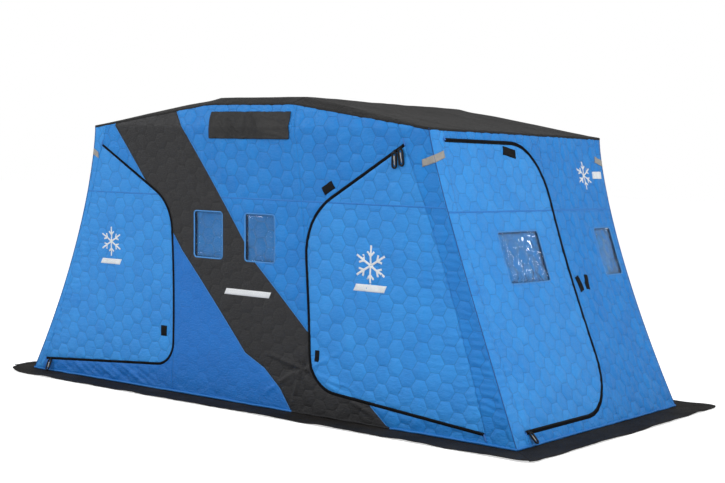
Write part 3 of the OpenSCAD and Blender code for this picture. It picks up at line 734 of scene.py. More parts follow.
def use_group(tree, group, **links):
    """A group node with its inputs set or linked."""
    node = tree.nodes.new("ShaderNodeGroup")
    node.node_tree = group
    for key, value in links.items():
        socket = node.inputs[key.replace("_", " ")]
        if isinstance(value, (int, float)):
            socket.default_value = value
        else:
            tree.links.new(value, socket)
    return node


def mix_colour(tree, factor, first, second, blend="MIX"):
    """Two colours mixed by a factor."""
    node = tree.nodes.new("ShaderNodeMix")
    node.data_type, node.blend_type = "RGBA", blend
    for socket, value in ((node.inputs[0], factor), (node.inputs[6], first), (node.inputs[7], second)):
        if isinstance(value, (int, float, tuple)):
            socket.default_value = value
        else:
            tree.links.new(value, socket)
    return node.outputs[2]


def cloth_uv(tree):
    """The cloth map, in metres of flat cloth."""
    node = tree.nodes.new("ShaderNodeUVMap")
    node.uv_map = "cloth"
    return node.outputs[0]


def bump(tree, height, strength, distance, below=None):
    """A bumped normal, on top of another where below is given."""
    node = add_node(tree, "ShaderNodeBump", in_Strength=strength, in_Distance=distance)
    tree.links.new(height, node.inputs["Height"])
    if below is not None:
        tree.links.new(below, node.inputs["Normal"])
    return node.outputs[0]


def quilted_cloth(name, colour, deep, sewn_line_shade=0.38, roughness=0.44, puff=0.004, sheen=0.03):
    """Quilted satin cloth: sewn hexagons over a fine weave."""
    material, tree, shader = new_material(name)
    link, uv = tree.links.new, cloth_uv(tree)
    hexes = use_group(tree, hexagon_group, Cloth=uv, Line_width=0.0036).outputs
    threads = use_group(tree, thread_group, Cloth=uv, Thread=0.0011).outputs
    tone = mix_colour(tree, math_node(tree, "MULTIPLY", hexes["Tone"], 0.30), (*colour, 1), (*deep, 1))
    tone = mix_colour(tree, map_range(tree, threads["Dust"], 0.38, 0.66, 0.0, 0.35), tone, (*deep, 1))
    # The sewn line is darkened towards the deep colour: partly the seam itself, partly painted shade in its
    # groove.
    sewn = math_node(tree, "MULTIPLY", hexes["Line"], sewn_line_shade)
    link(mix_colour(tree, sewn, tone, tuple(0.30 * c for c in deep) + (1,)), shader.inputs["Base Color"])
    shine = map_range(tree, threads["Wrinkles"], 0.3, 0.7, roughness - 0.07, roughness + 0.1)
    link(shine, shader.inputs["Roughness"])
    pressed = bump(tree, hexes["Puff"], 0.55, puff)
    crumpled = bump(tree, threads["Wrinkles"], 0.75, 0.007, pressed)
    link(bump(tree, threads["Threads"], 0.25, 0.0003, crumpled), shader.inputs["Normal"])
    set_inputs(shader, Sheen_Weight=sheen, Sheen_Roughness=0.4, Specular_IOR_Level=0.30)
    return material


def plain_cloth(name, colour, roughness=0.7, thread=0.0012, wrinkle=0.3, dusty=(0.35, 0.33, 0.31),
                dust_amount=0.12, gloss=0.3):
    """Plain woven cloth with wrinkles and a little dust."""
    material, tree, shader = new_material(name)
    link = tree.links.new
    threads = use_group(tree, thread_group, Cloth=cloth_uv(tree), Thread=thread).outputs
    spread = map_range(tree, threads["Dust"], 0.42, 0.75, 0.0, dust_amount)
    tone = mix_colour(tree, spread, (*colour, 1), (*dusty, 1))
    shade = map_range(tree, threads["Threads"], -1.0, 1.0, 0.8, 1.15)
    link(mix_colour(tree, 1.0, tone, shade, "MULTIPLY"), shader.inputs["Base Color"])
    rough = map_range(tree, threads["Wrinkles"], 0.3, 0.7, roughness - 0.1, roughness + 0.1)
    link(rough, shader.inputs["Roughness"])
    set_inputs(shader, Specular_IOR_Level=gloss)
    folds = bump(tree, threads["Wrinkles"], wrinkle, 0.006)
    link(bump(tree, threads["Threads"], 0.4, 0.0004, folds), shader.inputs["Normal"])
    return material


blue_quilt = quilted_cloth("blue_quilted_cloth", (0.014, 0.240, 0.680), (0.007, 0.150, 0.51))
# A lighter copy of the blue quilted cloth, painted light: it brightens the doors, the corner strips beside
# them and the window covers as if they caught more light.
door_quilt_painted_light = quilted_cloth("door_quilted_cloth_painted_light", (0.034, 0.300, 0.770), (0.014, 0.190, 0.59))
smooth_blue = quilted_cloth("smooth_blue_cloth", (0.007, 0.175, 0.590), (0.004, 0.130, 0.48), sewn_line_shade=0.16,
                            puff=0.0012)
charcoal_quilt = quilted_cloth("charcoal_quilted_cloth", (0.020, 0.020, 0.022), (0.013, 0.013, 0.014),
                               sewn_line_shade=0.5, roughness=0.48, puff=0.003, sheen=0.05)
lining_cloth = plain_cloth("blue_lining_cloth", (0.035, 0.13, 0.36), roughness=0.8)

finish_slots = {"blue": ("blue_quilt", blue_quilt), "door": ("blue_quilt", door_quilt_painted_light),
                "smooth": ("blue_quilt", smooth_blue), "charcoal": ("charcoal_cloth", charcoal_quilt)}
fold_width = 0.11


def fold_line(door, wall):
    """Start and end of a door's soft fold, square to its axis."""
    side = -1 if door.flipped else 1
    ends = [wall.place(np.array([door.corners[k]]) * (side, 1), with_relief=False)[0] for k in (0, 3)]
    axis = (ends[1] - ends[0]) / np.linalg.norm(ends[1] - ends[0])
    across = np.array((side, 0, 0) if wall.along_x else (0, 1, 0), float)
    across -= axis * (across @ axis)
    start = (ends[0] + ends[1]) / 2
    return tuple(start), tuple(start + across / np.linalg.norm(across) * fold_width)


door_folds = {"front_left_door": fold_line(left_door, front_wall),
              "front_right_door": fold_line(right_door, front_wall),
              "right_end_door": fold_line(end_door, end_wall)}


def fit(piece, slot_name, material=None, body="hut", node=None, folds=False):
    """Coats a piece and ties it to its body, or where folds is set only bakes its transform in place, and
    hides its CAD node. slot_name is not used.
    """
    if material:
        piece.data.materials.append(material)
    if folds:
        start, end = door_folds[body]
        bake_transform(piece)
        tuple(start)
        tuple(end)
    else:
        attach(piece, body)
    if node:
        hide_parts(node)


def panel(name, faces, plane, wall, finish, body="hut"):
    """A quilted panel cut from its wall's triangles, which stands for the CAD panel of that name."""
    fixed = body == "hut"
    piece = cloth_mesh(name + "_cloth", faces, plane, wall, 0.06 if fixed else 0.02)
    slot_name, material = finish_slots[finish]
    piece.data.materials.append(material)
    fit(piece, slot_name, lining_cloth, body, name, folds=not fixed)


# ---- Front wall panels ----
# Seven blue panels and a charcoal stripe, sewn edge to edge with rolled seams.
# Two zipped doors are cut into them.
def line_through(p, q):
    """A long straight line through two points."""
    p, q = np.array(p), np.array(q)
    d = (q - p) / np.linalg.norm(q - p)
    return np.array([p - 3 * d, q + 3 * d])


def left_of(points, line):
    """Which points lie on the left of a rising line."""
    (ax, ay), (bx, by) = line
    if by < ay:
        ax, ay, bx, by = bx, by, ax, ay
    return (bx - ax) * (points[:, 1] - ay) - (by - ay) * (points[:, 0] - ax) > 0


def clipped(line, outline):
    """The part of a line that lies in an outline."""
    pts = sampled(line, 0.006)
    pts = pts[inside(pts, outline)]
    return pts[[0, -1]] if len(pts) > 1 else pts


left_fold = line_through(left_door.corners[0], left_door.corners[3])
left_free = line_through(left_door.corners[1], left_door.corners[2])
mirror = lambda pts: np.asarray(pts) * (-1, 1)
right_fold = mirror(line_through(right_door.corners[0], right_door.corners[3]))
right_free = mirror(line_through(right_door.corners[1], right_door.corners[2]))


def hole_and_leaf(door):
    """The outlines of a door's opening and of its cloth, with the zip's gap between them."""
    return door.outline(-door_gap / 2, -door_gap / 2), door.outline(door_gap / 2, -door_gap / 2)


left_hole, left_leaf = hole_and_leaf(left_door)
right_hole, right_leaf = hole_and_leaf(right_door)
front_row = row_line(1.7, front_seam_height)
front_lines = [(line, True) for line in (left_hole, right_hole, left_leaf, right_leaf)]
front_lines += [(line, False) for line in (*stripe_edges, front_row)]
front_lines += [(w, True) for w in front_windows]
fold_lines = (left_fold, left_free, right_fold, right_free)
front_lines += [(clipped(line, front_outline), False) for line in fold_lines]
plane, faces = cut_wall(front_wall, front_outline, front_lines)
middle = plane[faces].mean(1)
in_left, in_right = inside(middle, left_leaf), inside(middle, right_leaf)
cloth = ~np.any([inside(middle, cut) for cut in (left_hole, right_hole, *front_windows)], axis=0)
on_stripe = inside(middle, stripe_outline)
before_stripe = middle[:, 0] < stripe_left(middle[:, 1])
past_left_fold, past_left_free = left_of(middle, left_fold), left_of(middle, left_free)
past_right_fold, past_right_free = ~left_of(middle, right_fold), ~left_of(middle, right_free)
upper = middle[:, 1] > eave_height / 2
front_parts = {
    "front_left_corner": (cloth & past_left_fold & ~on_stripe, "door"),
    "front_left_sill": (cloth & past_left_free & ~past_left_fold & ~upper & ~on_stripe, "smooth"),
    "front_over_left_door": (cloth & past_left_free & ~past_left_fold & upper & ~on_stripe & before_stripe,
                             "blue"),
    "front_lower_panel": (cloth & before_stripe & ~past_left_free, "smooth"),
    "front_stripe": (cloth & on_stripe, "charcoal"),
    "front_upper_panel": (cloth & ~before_stripe & ~on_stripe & ~past_right_free, "blue"),
    "front_over_right_door": (cloth & past_right_free & ~past_right_fold & upper & ~on_stripe, "blue"),
    "front_right_sill": (cloth & past_right_free & ~past_right_fold & ~upper & ~on_stripe & ~before_stripe,
                         "blue"),
    "front_right_corner": (cloth & past_right_fold, "blue")}
for name, (chosen, finish) in front_parts.items():
    panel(name, faces[chosen], plane, front_wall, finish)


# ---- Zipped doors in the front wall ----
# Each door is a D of the same quilted cloth. It is zipped round three sides
# and folds on its outer edge, where its cloth runs on from the wall.
panel("front_left_door", faces[in_left], plane, front_wall, "door", "front_left_door")
panel("front_right_door", faces[in_right], plane, front_wall, "door", "front_right_door")


# ---- Right end wall and its door ----
# The end wall is quilted like the front. Its door takes most of the wall, with
# a wide window, and a small window sits in the panel past the zip.
end_fold = line_through(end_door.corners[0], end_door.corners[3])
end_free = line_through(end_door.corners[1], end_door.corners[2])
end_hole, end_leaf = hole_and_leaf(end_door)
end_row = row_line(1.03, end_seam_height)
end_lines = [(line, True) for line in (end_hole, end_leaf, small_window, door_window)] + [(end_row, False)]
end_lines += [(clipped(line, end_outline), False) for line in (end_fold, end_free)]
plane, faces = cut_wall(end_wall, end_outline, end_lines)
middle = plane[faces].mean(1)
cloth = ~inside(middle, end_hole) & ~inside(middle, small_window)
past_fold, past_free = left_of(middle, end_fold), left_of(middle, end_free)
upper = middle[:, 1] > eave_height / 2
end_parts = {"right_end_corner": past_fold, "right_end_sill": past_free & ~past_fold & ~upper,
             "right_end_over_door": past_free & ~past_fold & upper, "right_end_panel": ~past_free}
for name, chosen in end_parts.items():
    panel(name, faces[cloth & chosen], plane, end_wall, "door" if name == "right_end_corner" else "blue")
leaf_faces = faces[inside(middle, end_leaf) & ~inside(middle, door_window)]
panel("right_end_door", leaf_faces, plane, end_wall, "door", "right_end_door")


# ---- Rear wall and left end wall ----
# The two unseen walls repeat the quilted cloth, the stripe and the windows.
rear_lines = [(line, False) for line in (*stripe_edges, front_row)] + [(w, True) for w in front_windows]
plane, faces = cut_wall(rear_wall, front_outline, rear_lines)
middle = plane[faces].mean(1)
cloth = ~inside(middle, front_windows[0]) & ~inside(middle, front_windows[1])
on_stripe, before_stripe = inside(middle, stripe_outline), middle[:, 0] < stripe_left(middle[:, 1])
panel("rear_stripe", faces[cloth & on_stripe], plane, rear_wall, "charcoal")
panel("rear_right_panel", faces[cloth & before_stripe & ~on_stripe], plane, rear_wall, "blue")
panel("rear_left_panel", faces[cloth & ~before_stripe & ~on_stripe], plane, rear_wall, "blue")

left_end_windows = (small_window, mirror(small_window))
left_end_lines = [(w, True) for w in left_end_windows] + [(end_row, False)]
plane, faces = cut_wall(far_end_wall, end_outline, left_end_lines)
middle = plane[faces].mean(1)
cloth = ~inside(middle, left_end_windows[0]) & ~inside(middle, left_end_windows[1])
panel("left_end_wall", faces[cloth], plane, far_end_wall, "blue")


# ---- Strips, cords and rows of small things that follow the cloth ----
# Tapes, bindings and hems are folded strips sewn along a line of the cloth.
# Coil teeth and stitches are small beads set along the same lines.
def finish_mesh(name, points, faces, uvs=None, smooth=True):
    """A mesh object from points and faces, with the cloth map where uvs gives one point each."""
    mesh = bpy.data.meshes.new(name)
    mesh.from_pydata(np.asarray(points).tolist(), [], faces)
    mesh.polygons.foreach_set("use_smooth", [smooth] * len(faces))
    layer = mesh.uv_layers.new(name="cloth")
    flat = np.asarray(uvs if uvs is not None else np.asarray(points)[:, :2])
    loops = np.zeros(len(mesh.loops), int)
    mesh.loops.foreach_get("vertex_index", loops)
    layer.data.foreach_set("uv", flat[loops].ravel())
    return put_object(name, mesh)


def closed_sheet(name, top, bottom, flat, closed=False):
    """A thin closed sheet between two grids of points, joined at the ends where closed."""
    n, m = top.shape[:2]
    sense = np.cross(top[1:, :-1] - top[:-1, :-1], top[:-1, 1:] - top[:-1, :-1])
    up = (sense * (top - bottom)[:-1, :-1]).sum() > 0
    rows = n if closed else n - 1
    index = lambda i, j, side: side * n * m + (i % n) * m + j
    faces = []
    for i in range(rows):
        for j in range(m - 1):
            faces.append((index(i, j, 0), index(i + 1, j, 0), index(i + 1, j + 1, 0), index(i, j + 1, 0)))
            faces.append((index(i, j, 1), index(i, j + 1, 1), index(i + 1, j + 1, 1), index(i + 1, j, 1)))
        faces.append((index(i, 0, 0), index(i, 0, 1), index(i + 1, 0, 1), index(i + 1, 0, 0)))
        faces.append((index(i, m - 1, 0), index(i + 1, m - 1, 0), index(i + 1, m - 1, 1), index(i, m - 1, 1)))
    if not closed:
        for j in range(m - 1):
            faces.append((index(0, j, 0), index(0, j + 1, 0), index(0, j + 1, 1), index(0, j, 1)))
            faces.append((index(n - 1, j, 0), index(n - 1, j, 1), index(n - 1, j + 1, 1),
                          index(n - 1, j + 1, 0)))
    if not up:
        faces = [f[::-1] for f in faces]
    return finish_mesh(name, np.vstack([top.reshape(-1, 3), bottom.reshape(-1, 3)]), faces,
                       np.vstack([flat.reshape(-1, 2)] * 2))


def path_frames(path, closed):
    """Unit normals to the left of a plane path."""
    along = (np.roll(path, -1, 0) - np.roll(path, 1, 0)) if closed else np.gradient(path, axis=0)
    along /= np.linalg.norm(along, axis=1)[:, None]
    return np.stack([-along[:, 1], along[:, 0]], 1)


def sewn_strip(name, wall, path, offsets, lifts, thickness, closed=False):
    """A strip along a plane path, at offsets to its left, lying on the wall's cloth."""
    left = path_frames(path, closed)
    spots = [path + left * o for o in offsets]
    top = np.stack([wall.place(s, l) for s, l in zip(spots, lifts)], 1)
    bottom = np.stack([wall.place(s, l - thickness) for s, l in zip(spots, lifts)], 1)
    run = np.concatenate([[0], np.cumsum(np.linalg.norm(np.diff(path, axis=0), axis=1))])
    flat = np.stack([np.stack([np.full(len(path), o), run], 1) for o in offsets], 1)
    piece = closed_sheet(name, top, bottom, flat, closed)
    piece["flat_size"] = [float(abs(offsets[-1] - offsets[0])), float(run[-1])]
    return piece


def tube(name, path, radius, sides=8, closed=False):
    """A round cord along points in space."""
    path = np.asarray(path, float)
    along = (np.roll(path, -1, 0) - np.roll(path, 1, 0)) if closed else np.gradient(path, axis=0)
    along /= np.linalg.norm(along, axis=1)[:, None]
    side = np.cross(along[0], (0.31, 0.17, 0.93))
    rings = []
    for p, t in zip(path, along):
        side = side - t * (side @ t)
        side /= np.linalg.norm(side)
        other = np.cross(t, side)
        rings.append([p + radius * (math.cos(a) * side + math.sin(a) * other) for a in np.arange(sides) * 2
                      * math.pi / sides])
    n = len(path)
    points = np.array(rings).reshape(-1, 3)
    faces = [(i * sides + k, i * sides + (k + 1) % sides, ((i + 1) % n) * sides + (k + 1) % sides,
              ((i + 1) % n) * sides + k)
             for i in range(n if closed else n - 1) for k in range(sides)]
    if not closed:
        faces += [tuple(range(sides))[::-1], tuple((n - 1) * sides + k for k in range(sides))]
    run = np.repeat(np.concatenate([[0], np.cumsum(np.linalg.norm(np.diff(path, axis=0), axis=1))]), sides)
    return finish_mesh(name, points, faces,
                       np.stack([np.tile(np.arange(sides) * 2 * math.pi * radius / sides, n), run], 1))


def bead_tree():
    """Geometry Nodes: beads of one size set at a steady pitch along paths, square to the cloth."""
    tree = bpy.data.node_groups.new("beads_along_paths", "GeometryNodeTree")
    for socket, kind, value in (("Paths", "NodeSocketGeometry", None), ("Pitch", "NodeSocketFloat", 0.004),
                                ("Bead size", "NodeSocketVector", None),
                                ("Segments", "NodeSocketInt", 5), ("Rings", "NodeSocketInt", 3),
                                ("Uneven", "NodeSocketFloat", 0.1),
                                ("Seed", "NodeSocketInt", 7), ("Finish", "NodeSocketMaterial", None)):
        made = tree.interface.new_socket(name=socket, in_out="INPUT", socket_type=kind)
        if value is not None:
            made.default_value = value
    tree.interface.new_socket(name="Beads", in_out="OUTPUT", socket_type="NodeSocketGeometry")
    start, end = tree.nodes.new("NodeGroupInput"), tree.nodes.new("NodeGroupOutput")
    link = tree.links.new
    curve = tree.nodes.new("GeometryNodeMeshToCurve")
    link(start.outputs["Paths"], curve.inputs[0])
    spaced = add_node(tree, "GeometryNodeResampleCurve", mode="LENGTH")
    link(curve.outputs[0], spaced.inputs["Curve"])
    link(start.outputs["Pitch"], spaced.inputs["Length"])
    out = add_node(tree, "GeometryNodeInputNamedAttribute", data_type="FLOAT_VECTOR", in_Name="cloth_out")
    aim = add_node(tree, "FunctionNodeAxesToRotation", primary_axis="Z", secondary_axis="X")
    link(out.outputs["Attribute"], aim.inputs[0])
    link(tree.nodes.new("GeometryNodeInputTangent").outputs[0], aim.inputs[1])
    dice = add_node(tree, "FunctionNodeRandomValue", data_type="FLOAT_VECTOR")
    low, high = [tree.nodes.new("ShaderNodeMath") for _ in range(2)]
    for node, sign in ((low, "SUBTRACT"), (high, "ADD")):
        node.operation = sign
        node.inputs[0].default_value = 1
        link(start.outputs["Uneven"], node.inputs[1])
    link(low.outputs[0], dice.inputs[0])
    link(high.outputs[0], dice.inputs[1])
    link(start.outputs["Seed"], dice.inputs["Seed"])
    bead = add_node(tree, "GeometryNodeMeshUVSphere", in_Radius=0.5)
    link(start.outputs["Segments"], bead.inputs["Segments"])
    link(start.outputs["Rings"], bead.inputs["Rings"])
    place = tree.nodes.new("GeometryNodeInstanceOnPoints")
    link(spaced.outputs[0], place.inputs["Points"])
    link(bead.outputs["Mesh"], place.inputs["Instance"])
    link(aim.outputs[0], place.inputs["Rotation"])
    sized = tree.nodes.new("ShaderNodeVectorMath")
    sized.operation = "MULTIPLY"
    link(start.outputs["Bead size"], sized.inputs[0])
    link(dice.outputs[0], sized.inputs[1])
    link(sized.outputs[0], place.inputs["Scale"])
    real = tree.nodes.new("GeometryNodeRealizeInstances")
    link(place.outputs[0], real.inputs[0])
    coat = tree.nodes.new("GeometryNodeSetMaterial")
    link(real.outputs[0], coat.inputs["Geometry"])
    link(start.outputs["Finish"], coat.inputs["Material"])
    link(coat.outputs[0], end.inputs[0])
    return tree


beads_along_paths = bead_tree()


def bead_rows(name, rows, pitch, size, finish, segments=5, rings=3, uneven=0.08, seed=7):
    """One mesh of beads along rows, each a pair of points and outward directions."""
    mesh = bpy.data.meshes.new(name)
    points, edges, outs = [], [], []
    for spots, out in rows:
        base = len(points)
        points += list(spots)
        outs += list(out)
        edges += [(base + k, base + k + 1) for k in range(len(spots) - 1)]
    mesh.from_pydata(points, edges, [])
    mesh.attributes.new("cloth_out", "FLOAT_VECTOR",
                        "POINT").data.foreach_set("vector", np.array(outs, np.float32).ravel())
    carrier = put_object(name, mesh)
    modifier = carrier.modifiers.new("beads", "NODES")
    modifier.node_group = beads_along_paths
    sockets = beads_along_paths.interface.items_tree
    names = {item.name: item.identifier for item in sockets if item.in_out == "INPUT"}
    settings = {"Pitch": pitch, "Bead size": size, "Segments": segments, "Rings": rings,
                "Uneven": uneven, "Seed": seed, "Finish": finish}
    for key, value in settings.items():
        modifier[names[key]] = value
    bpy.context.view_layer.update()
    depsgraph = bpy.context.evaluated_depsgraph_get()
    made = bpy.data.meshes.new_from_object(carrier.evaluated_get(depsgraph))
    bpy.data.objects.remove(carrier)
    made.name = name
    made.polygons.foreach_set("use_smooth", [True] * len(made.polygons))
    return put_object(name, made)


stitch_pitch, stitch_size = 0.0052, (0.0040, 0.0009, 0.0007)


def stitch_rows(name, rows, thread):
    """Rows of sewing stitches."""
    return bead_rows(name, rows, stitch_pitch, stitch_size, thread, 4, 2)


def along_cloth(wall, path, lift):
    """Points on the cloth above a plane path, with the cloth's outward direction at each."""
    spots = wall.place(path, lift)
    return spots, wall.place(path, lift + 0.01, with_relief=False) - wall.place(path, lift, with_relief=False)


def stitch_thread(name, colour):
    """Twisted sewing thread with a slight sheen."""
    material, tree, shader = new_material(name)
    place = tree.nodes.new("ShaderNodeTexCoord")
    twist = add_node(tree, "ShaderNodeTexWave", in_Scale=900.0, in_Distortion=1.5)
    tree.links.new(place.outputs["Object"], twist.inputs["Vector"])
    tone = mix_colour(tree, twist.outputs["Fac"], (*colour, 1), tuple(0.7 * c for c in colour) + (1,))
    tree.links.new(tone, shader.inputs["Base Color"])
    tree.links.new(bump(tree, twist.outputs["Fac"], 0.4, 0.0003), shader.inputs["Normal"])
    set_inputs(shader, Roughness=0.6, Specular_IOR_Level=0.15)
    return material


blue_thread = stitch_thread("blue_thread", (0.02, 0.12, 0.42))
black_thread = stitch_thread("black_thread", (0.006, 0.006, 0.007))


# ---- Zips: woven tape, coil teeth, stitches, sliders and pulls ----
# A heavy coil zip runs round each door: one tape is sewn to the door, one to
# the wall, and the two rows of coil mesh between them.
zip_tape = plain_cloth("black_zip_tape", (0.004, 0.004, 0.0045), roughness=0.8, thread=0.0008, wrinkle=0.12,
                       dust_amount=0.02, gloss=0.15)


def moulded_plastic(name, colour, roughness=0.4, scale=900.0, gloss=0.5):
    """Moulded plastic with a fine texture and paler scuffs."""
    material, tree, shader = new_material(name)
    place = tree.nodes.new("ShaderNodeTexCoord").outputs["Object"]
    grit = noise(tree, place, in_Scale=scale, in_Detail=3.0)
    scuff = noise(tree, place, in_Scale=45.0, in_Detail=6.0, in_Roughness=0.7)
    pale = tuple(min(1, 2.2 * c + 0.02) for c in colour) + (1,)
    tone = mix_colour(tree, map_range(tree, scuff, 0.55, 0.75, 0.0, 0.35), (*colour, 1), pale)
    tree.links.new(tone, shader.inputs["Base Color"])
    rough = map_range(tree, scuff, 0.0, 1.0, roughness - 0.08, roughness + 0.15)
    tree.links.new(rough, shader.inputs["Roughness"])
    tree.links.new(bump(tree, grit, 0.2, 0.0004), shader.inputs["Normal"])
    set_inputs(shader, Specular_IOR_Level=gloss)
    return material


coil_nylon = moulded_plastic("coil_nylon", (0.005, 0.005, 0.006), 0.7, gloss=0.15)
slider_metal = moulded_plastic("slider_enamel", (0.006, 0.006, 0.007), 0.45, gloss=0.25)
pale_webbing = plain_cloth("pale_pull_webbing", (0.50, 0.50, 0.49), roughness=0.7, thread=0.0010, wrinkle=0.1)
tape_shares = (1.0, 0.95, 0.6, 0.0)
tape_lifts = (0.0026, 0.0022, 0.0013, 0.0009)


def declare_strip(piece):
    """Reads the flat size that a sewn strip was laid out with; nothing is done with it."""
    width, length = piece["flat_size"]
    max(width, 0.0101)


for body, door, wall, tape, rise in (("front_left_door", left_door, front_wall, 0.0088, 0.0),
                                     ("front_right_door", right_door, front_wall, 0.0098, 0.001),
                                     ("right_end_door", end_door, end_wall, 0.0122, 0.0045)):
    short = body.replace("_door", "")
    lifts = [lift + rise * share for lift, share in zip(tape_lifts, tape_shares)]
    path = sampled(door.outline(0, 0), 0.008)
    left = path_frames(path, False)
    into = -1 if door.flipped else 1
    for side, rider in ((1, "door"), (-1, "wall")):
        offsets = [side * into * o for o in (0.0006, 0.0030, 0.0052, tape)]
        strip = sewn_strip(f"{short}_zip_tape_{rider}", wall, path, offsets, lifts, 0.0009)
        strip.data.materials.append(zip_tape)
        teeth = along_cloth(wall, path + left * side * into * 0.0014, 0.0034 + rise)
        coil = bead_rows(f"{short}_zip_coil_{rider}", [teeth], 0.0042, (0.0026, 0.0044, 0.0026), coil_nylon)
        rows = [along_cloth(wall, path + left * side * into * o, 0.0016) for o in (0.0060, tape - 0.0012)]
        seam = stitch_rows(f"{short}_zip_stitches_{rider}", rows, black_thread)
        for piece in (strip, coil, seam):
            if rider == "door":
                fit(piece, "zip_tape", None, body, body + "_trim", folds=True)
            else:
                fit(piece, "zip_tape", node="wall_trim")
        declare_strip(strip)
    offsets = [into * o for o in (-0.014, -0.008, 0.002, 0.009)]
    flap = sewn_strip(f"{short}_draft_flap", wall, path, offsets, (-0.0098,) * 4, 0.0012)
    fit(flap, "zip_tape", zip_tape)
    declare_strip(flap)


def pull_frame(wall, x, z, lift):
    """Place, across, up and out directions on the cloth at a plane point."""
    here, over, above, out = [wall.place(np.array([p]), l, with_relief=False)[0]
                              for p, l in (((x, z), lift), ((x + 0.01, z), lift), ((x, z + 0.01), lift),
                                           ((x, z), lift + 0.01))]
    unit = lambda v: v / np.linalg.norm(v)
    up, outward = unit(above - here), unit(out - here)
    return here, unit(over - here), up, outward


def stadium(width, length, steps=8):
    """An oval with straight sides, hung from its top at zero."""
    r = width / 2
    upper = [(r * math.cos(a), -r + r * math.sin(a)) for a in np.linspace(0, math.pi, steps)]
    lower = [(r * math.cos(a), -length + r + r * math.sin(a))
             for a in np.linspace(math.pi, 2 * math.pi, steps)]
    return np.array(upper + lower)


def zip_pull(name, wall, x, z, length, sway, body, node, lean=0.0):
    """A slider on the coil with its long oval pull and pale webbing hanging from it."""
    here, over, up, out = pull_frame(wall, x, z, 0.004)

    def swing(p, depth):
        """A point of the pull, swayed aside and leaning out."""
        aside = over * (p[0] + sway * -p[1])
        return here + aside + up * p[1] * math.cos(lean) + out * (depth - p[1] * math.sin(lean))

    parts = []
    block = [(-0.006, 0.012), (0.006, 0.012), (0.0085, 0.004), (0.0085, -0.010), (-0.0085, -0.010),
             (-0.0085, 0.004)]
    levels = ((0.0, 0.8), (0.0015, 1.0), (0.0050, 1.0), (0.0065, 0.82))
    points = [here + over * px * s + up * pz * s + out * h for h, s in levels for px, pz in block]
    faces = [tuple(range(6)), tuple(range(18, 24))[::-1]]
    faces += [(6 * l + k, 6 * (l + 1) + k, 6 * (l + 1) + (k + 1) % 6, 6 * l + (k + 1) % 6) for l in range(3)
              for k in range(6)]
    parts.append(finish_mesh(name + "_slider", points, faces, smooth=False))
    bridge = [here + up * (0.008 * math.cos(a) - 0.001) + out * (0.006 + 0.006 * math.sin(a))
              for a in np.linspace(0, math.pi, 9)]
    parts.append(tube(name + "_bridge", bridge, 0.0016, 6))
    oval = stadium(0.030, length - 0.006, 10)
    parts.append(tube(name + "_loop", [swing(p + (0, -0.004), 0.0095) for p in oval], 0.0062, 8, closed=True))
    for part in parts:
        fit(part, "zip_tape", slider_metal, body, node)
    rows = np.linspace(-0.024, -length + 0.020, 10)
    cols = np.linspace(-0.0052, 0.0052, 4)
    twist = lambda c, r: (c * math.cos(14 * r) + 0.002 * math.sin(60 * r), r)
    top = np.array([[swing(twist(c, r), 0.0100) for c in cols] for r in rows])
    bottom = np.array([[swing(twist(c, r), 0.0084) for c in cols] for r in rows])
    web = closed_sheet(name + "_webbing", top, bottom, np.array([[(c, r) for c in cols] for r in rows]))
    fit(web, "zip_tape", pale_webbing, body)


zip_pull("front_right_pull_upper", front_wall, 1.258, 1.706, 0.105, 0.06, "front_right_door",
         "front_right_door_trim")
zip_pull("front_right_pull_lower", front_wall, 1.214, 1.686, 0.100, -0.05, "front_right_door",
         "front_right_door_trim")
zip_pull("front_left_pull", front_wall, -1.940, 0.090, 0.086, 0.04, "hut", "wall_trim", 0.32)
zip_pull("right_end_pull", end_wall, -0.858, 0.082, 0.080, 0.02, "hut", "wall_trim", 0.32)


# ---- Tabs, reflective patches, vent flaps and printed flakes ----
# Small cloth pieces lie on the quilting and are stitched round their edges: black
# hold-open tabs, grey reflective patches at the corners and a long vent flap.
class Overlay:
    """The cloth of a flap or patch that lies on a wall, with folds of its own."""
    def __init__(self, wall, own):
        self.wall, self.own = wall, own
        self.row_seam, self.turned = 9, wall.turned

    def cloth(self, points, above=None):
        return self.wall.cloth(points, np.zeros(len(points), bool))

    def place(self, points, lift=0.0, with_relief=True):
        return self.wall.place(points, lift + self.own(points[:, 0], points[:, 1]))


def level(height):
    """A patch that lies at one height over the cloth."""
    return lambda x, z: np.full_like(x, height)


def sewn_patch(name, wall, outline, finish, slot_name, body="hut", node=None, own=level(0.0018), step=0.012,
               edge_stitch=None, thin=0.0014):
    """A flat piece of cloth with a shaped outline, sewn on round its edge."""
    ground = Overlay(wall, own)
    spots, tris = filled(outline, step, step)
    points = np.vstack([ground.place(spots), ground.place(spots, -thin)])
    uvs = np.vstack([np.stack(ground.cloth(spots), 1)] * 2)
    piece = finish_mesh(name, points, shell_faces(tris, len(spots)), uvs)
    a, b, c = points[tris[0]]
    outward = (ground.place(spots[:1], 0.01) - ground.place(spots[:1]))[0]
    if np.cross(b - a, c - a) @ outward < 0:
        piece.data.flip_normals()
    fit(piece, slot_name, finish, body, node)
    if edge_stitch:
        middle = outline.mean(0)
        reach = np.linalg.norm(outline - middle, axis=1)[:, None]
        line = sampled(middle + (outline - middle) * (1 - 0.0045 / reach), 0.008, closed=True)
        row = along_cloth(ground, np.vstack([line, line[:1]]), 0.0004)
        fit(stitch_rows(name + "_stitches", [row], edge_stitch), slot_name, None, body, node)
    return piece


def tab_outline(x, z, width, height, degrees):
    """A small oblong tab, turned about its middle."""
    c, s = math.cos(math.radians(degrees)), math.sin(math.radians(degrees))
    corners = [(a * width / 2, b * height / 2) for a, b in ((-1, -1), (1, -1), (1, 1), (-1, 1))]
    return rounded_outline(corners, [0.004] * 4, 3) @ np.array(((c, s), (-s, c))) + (x, z)


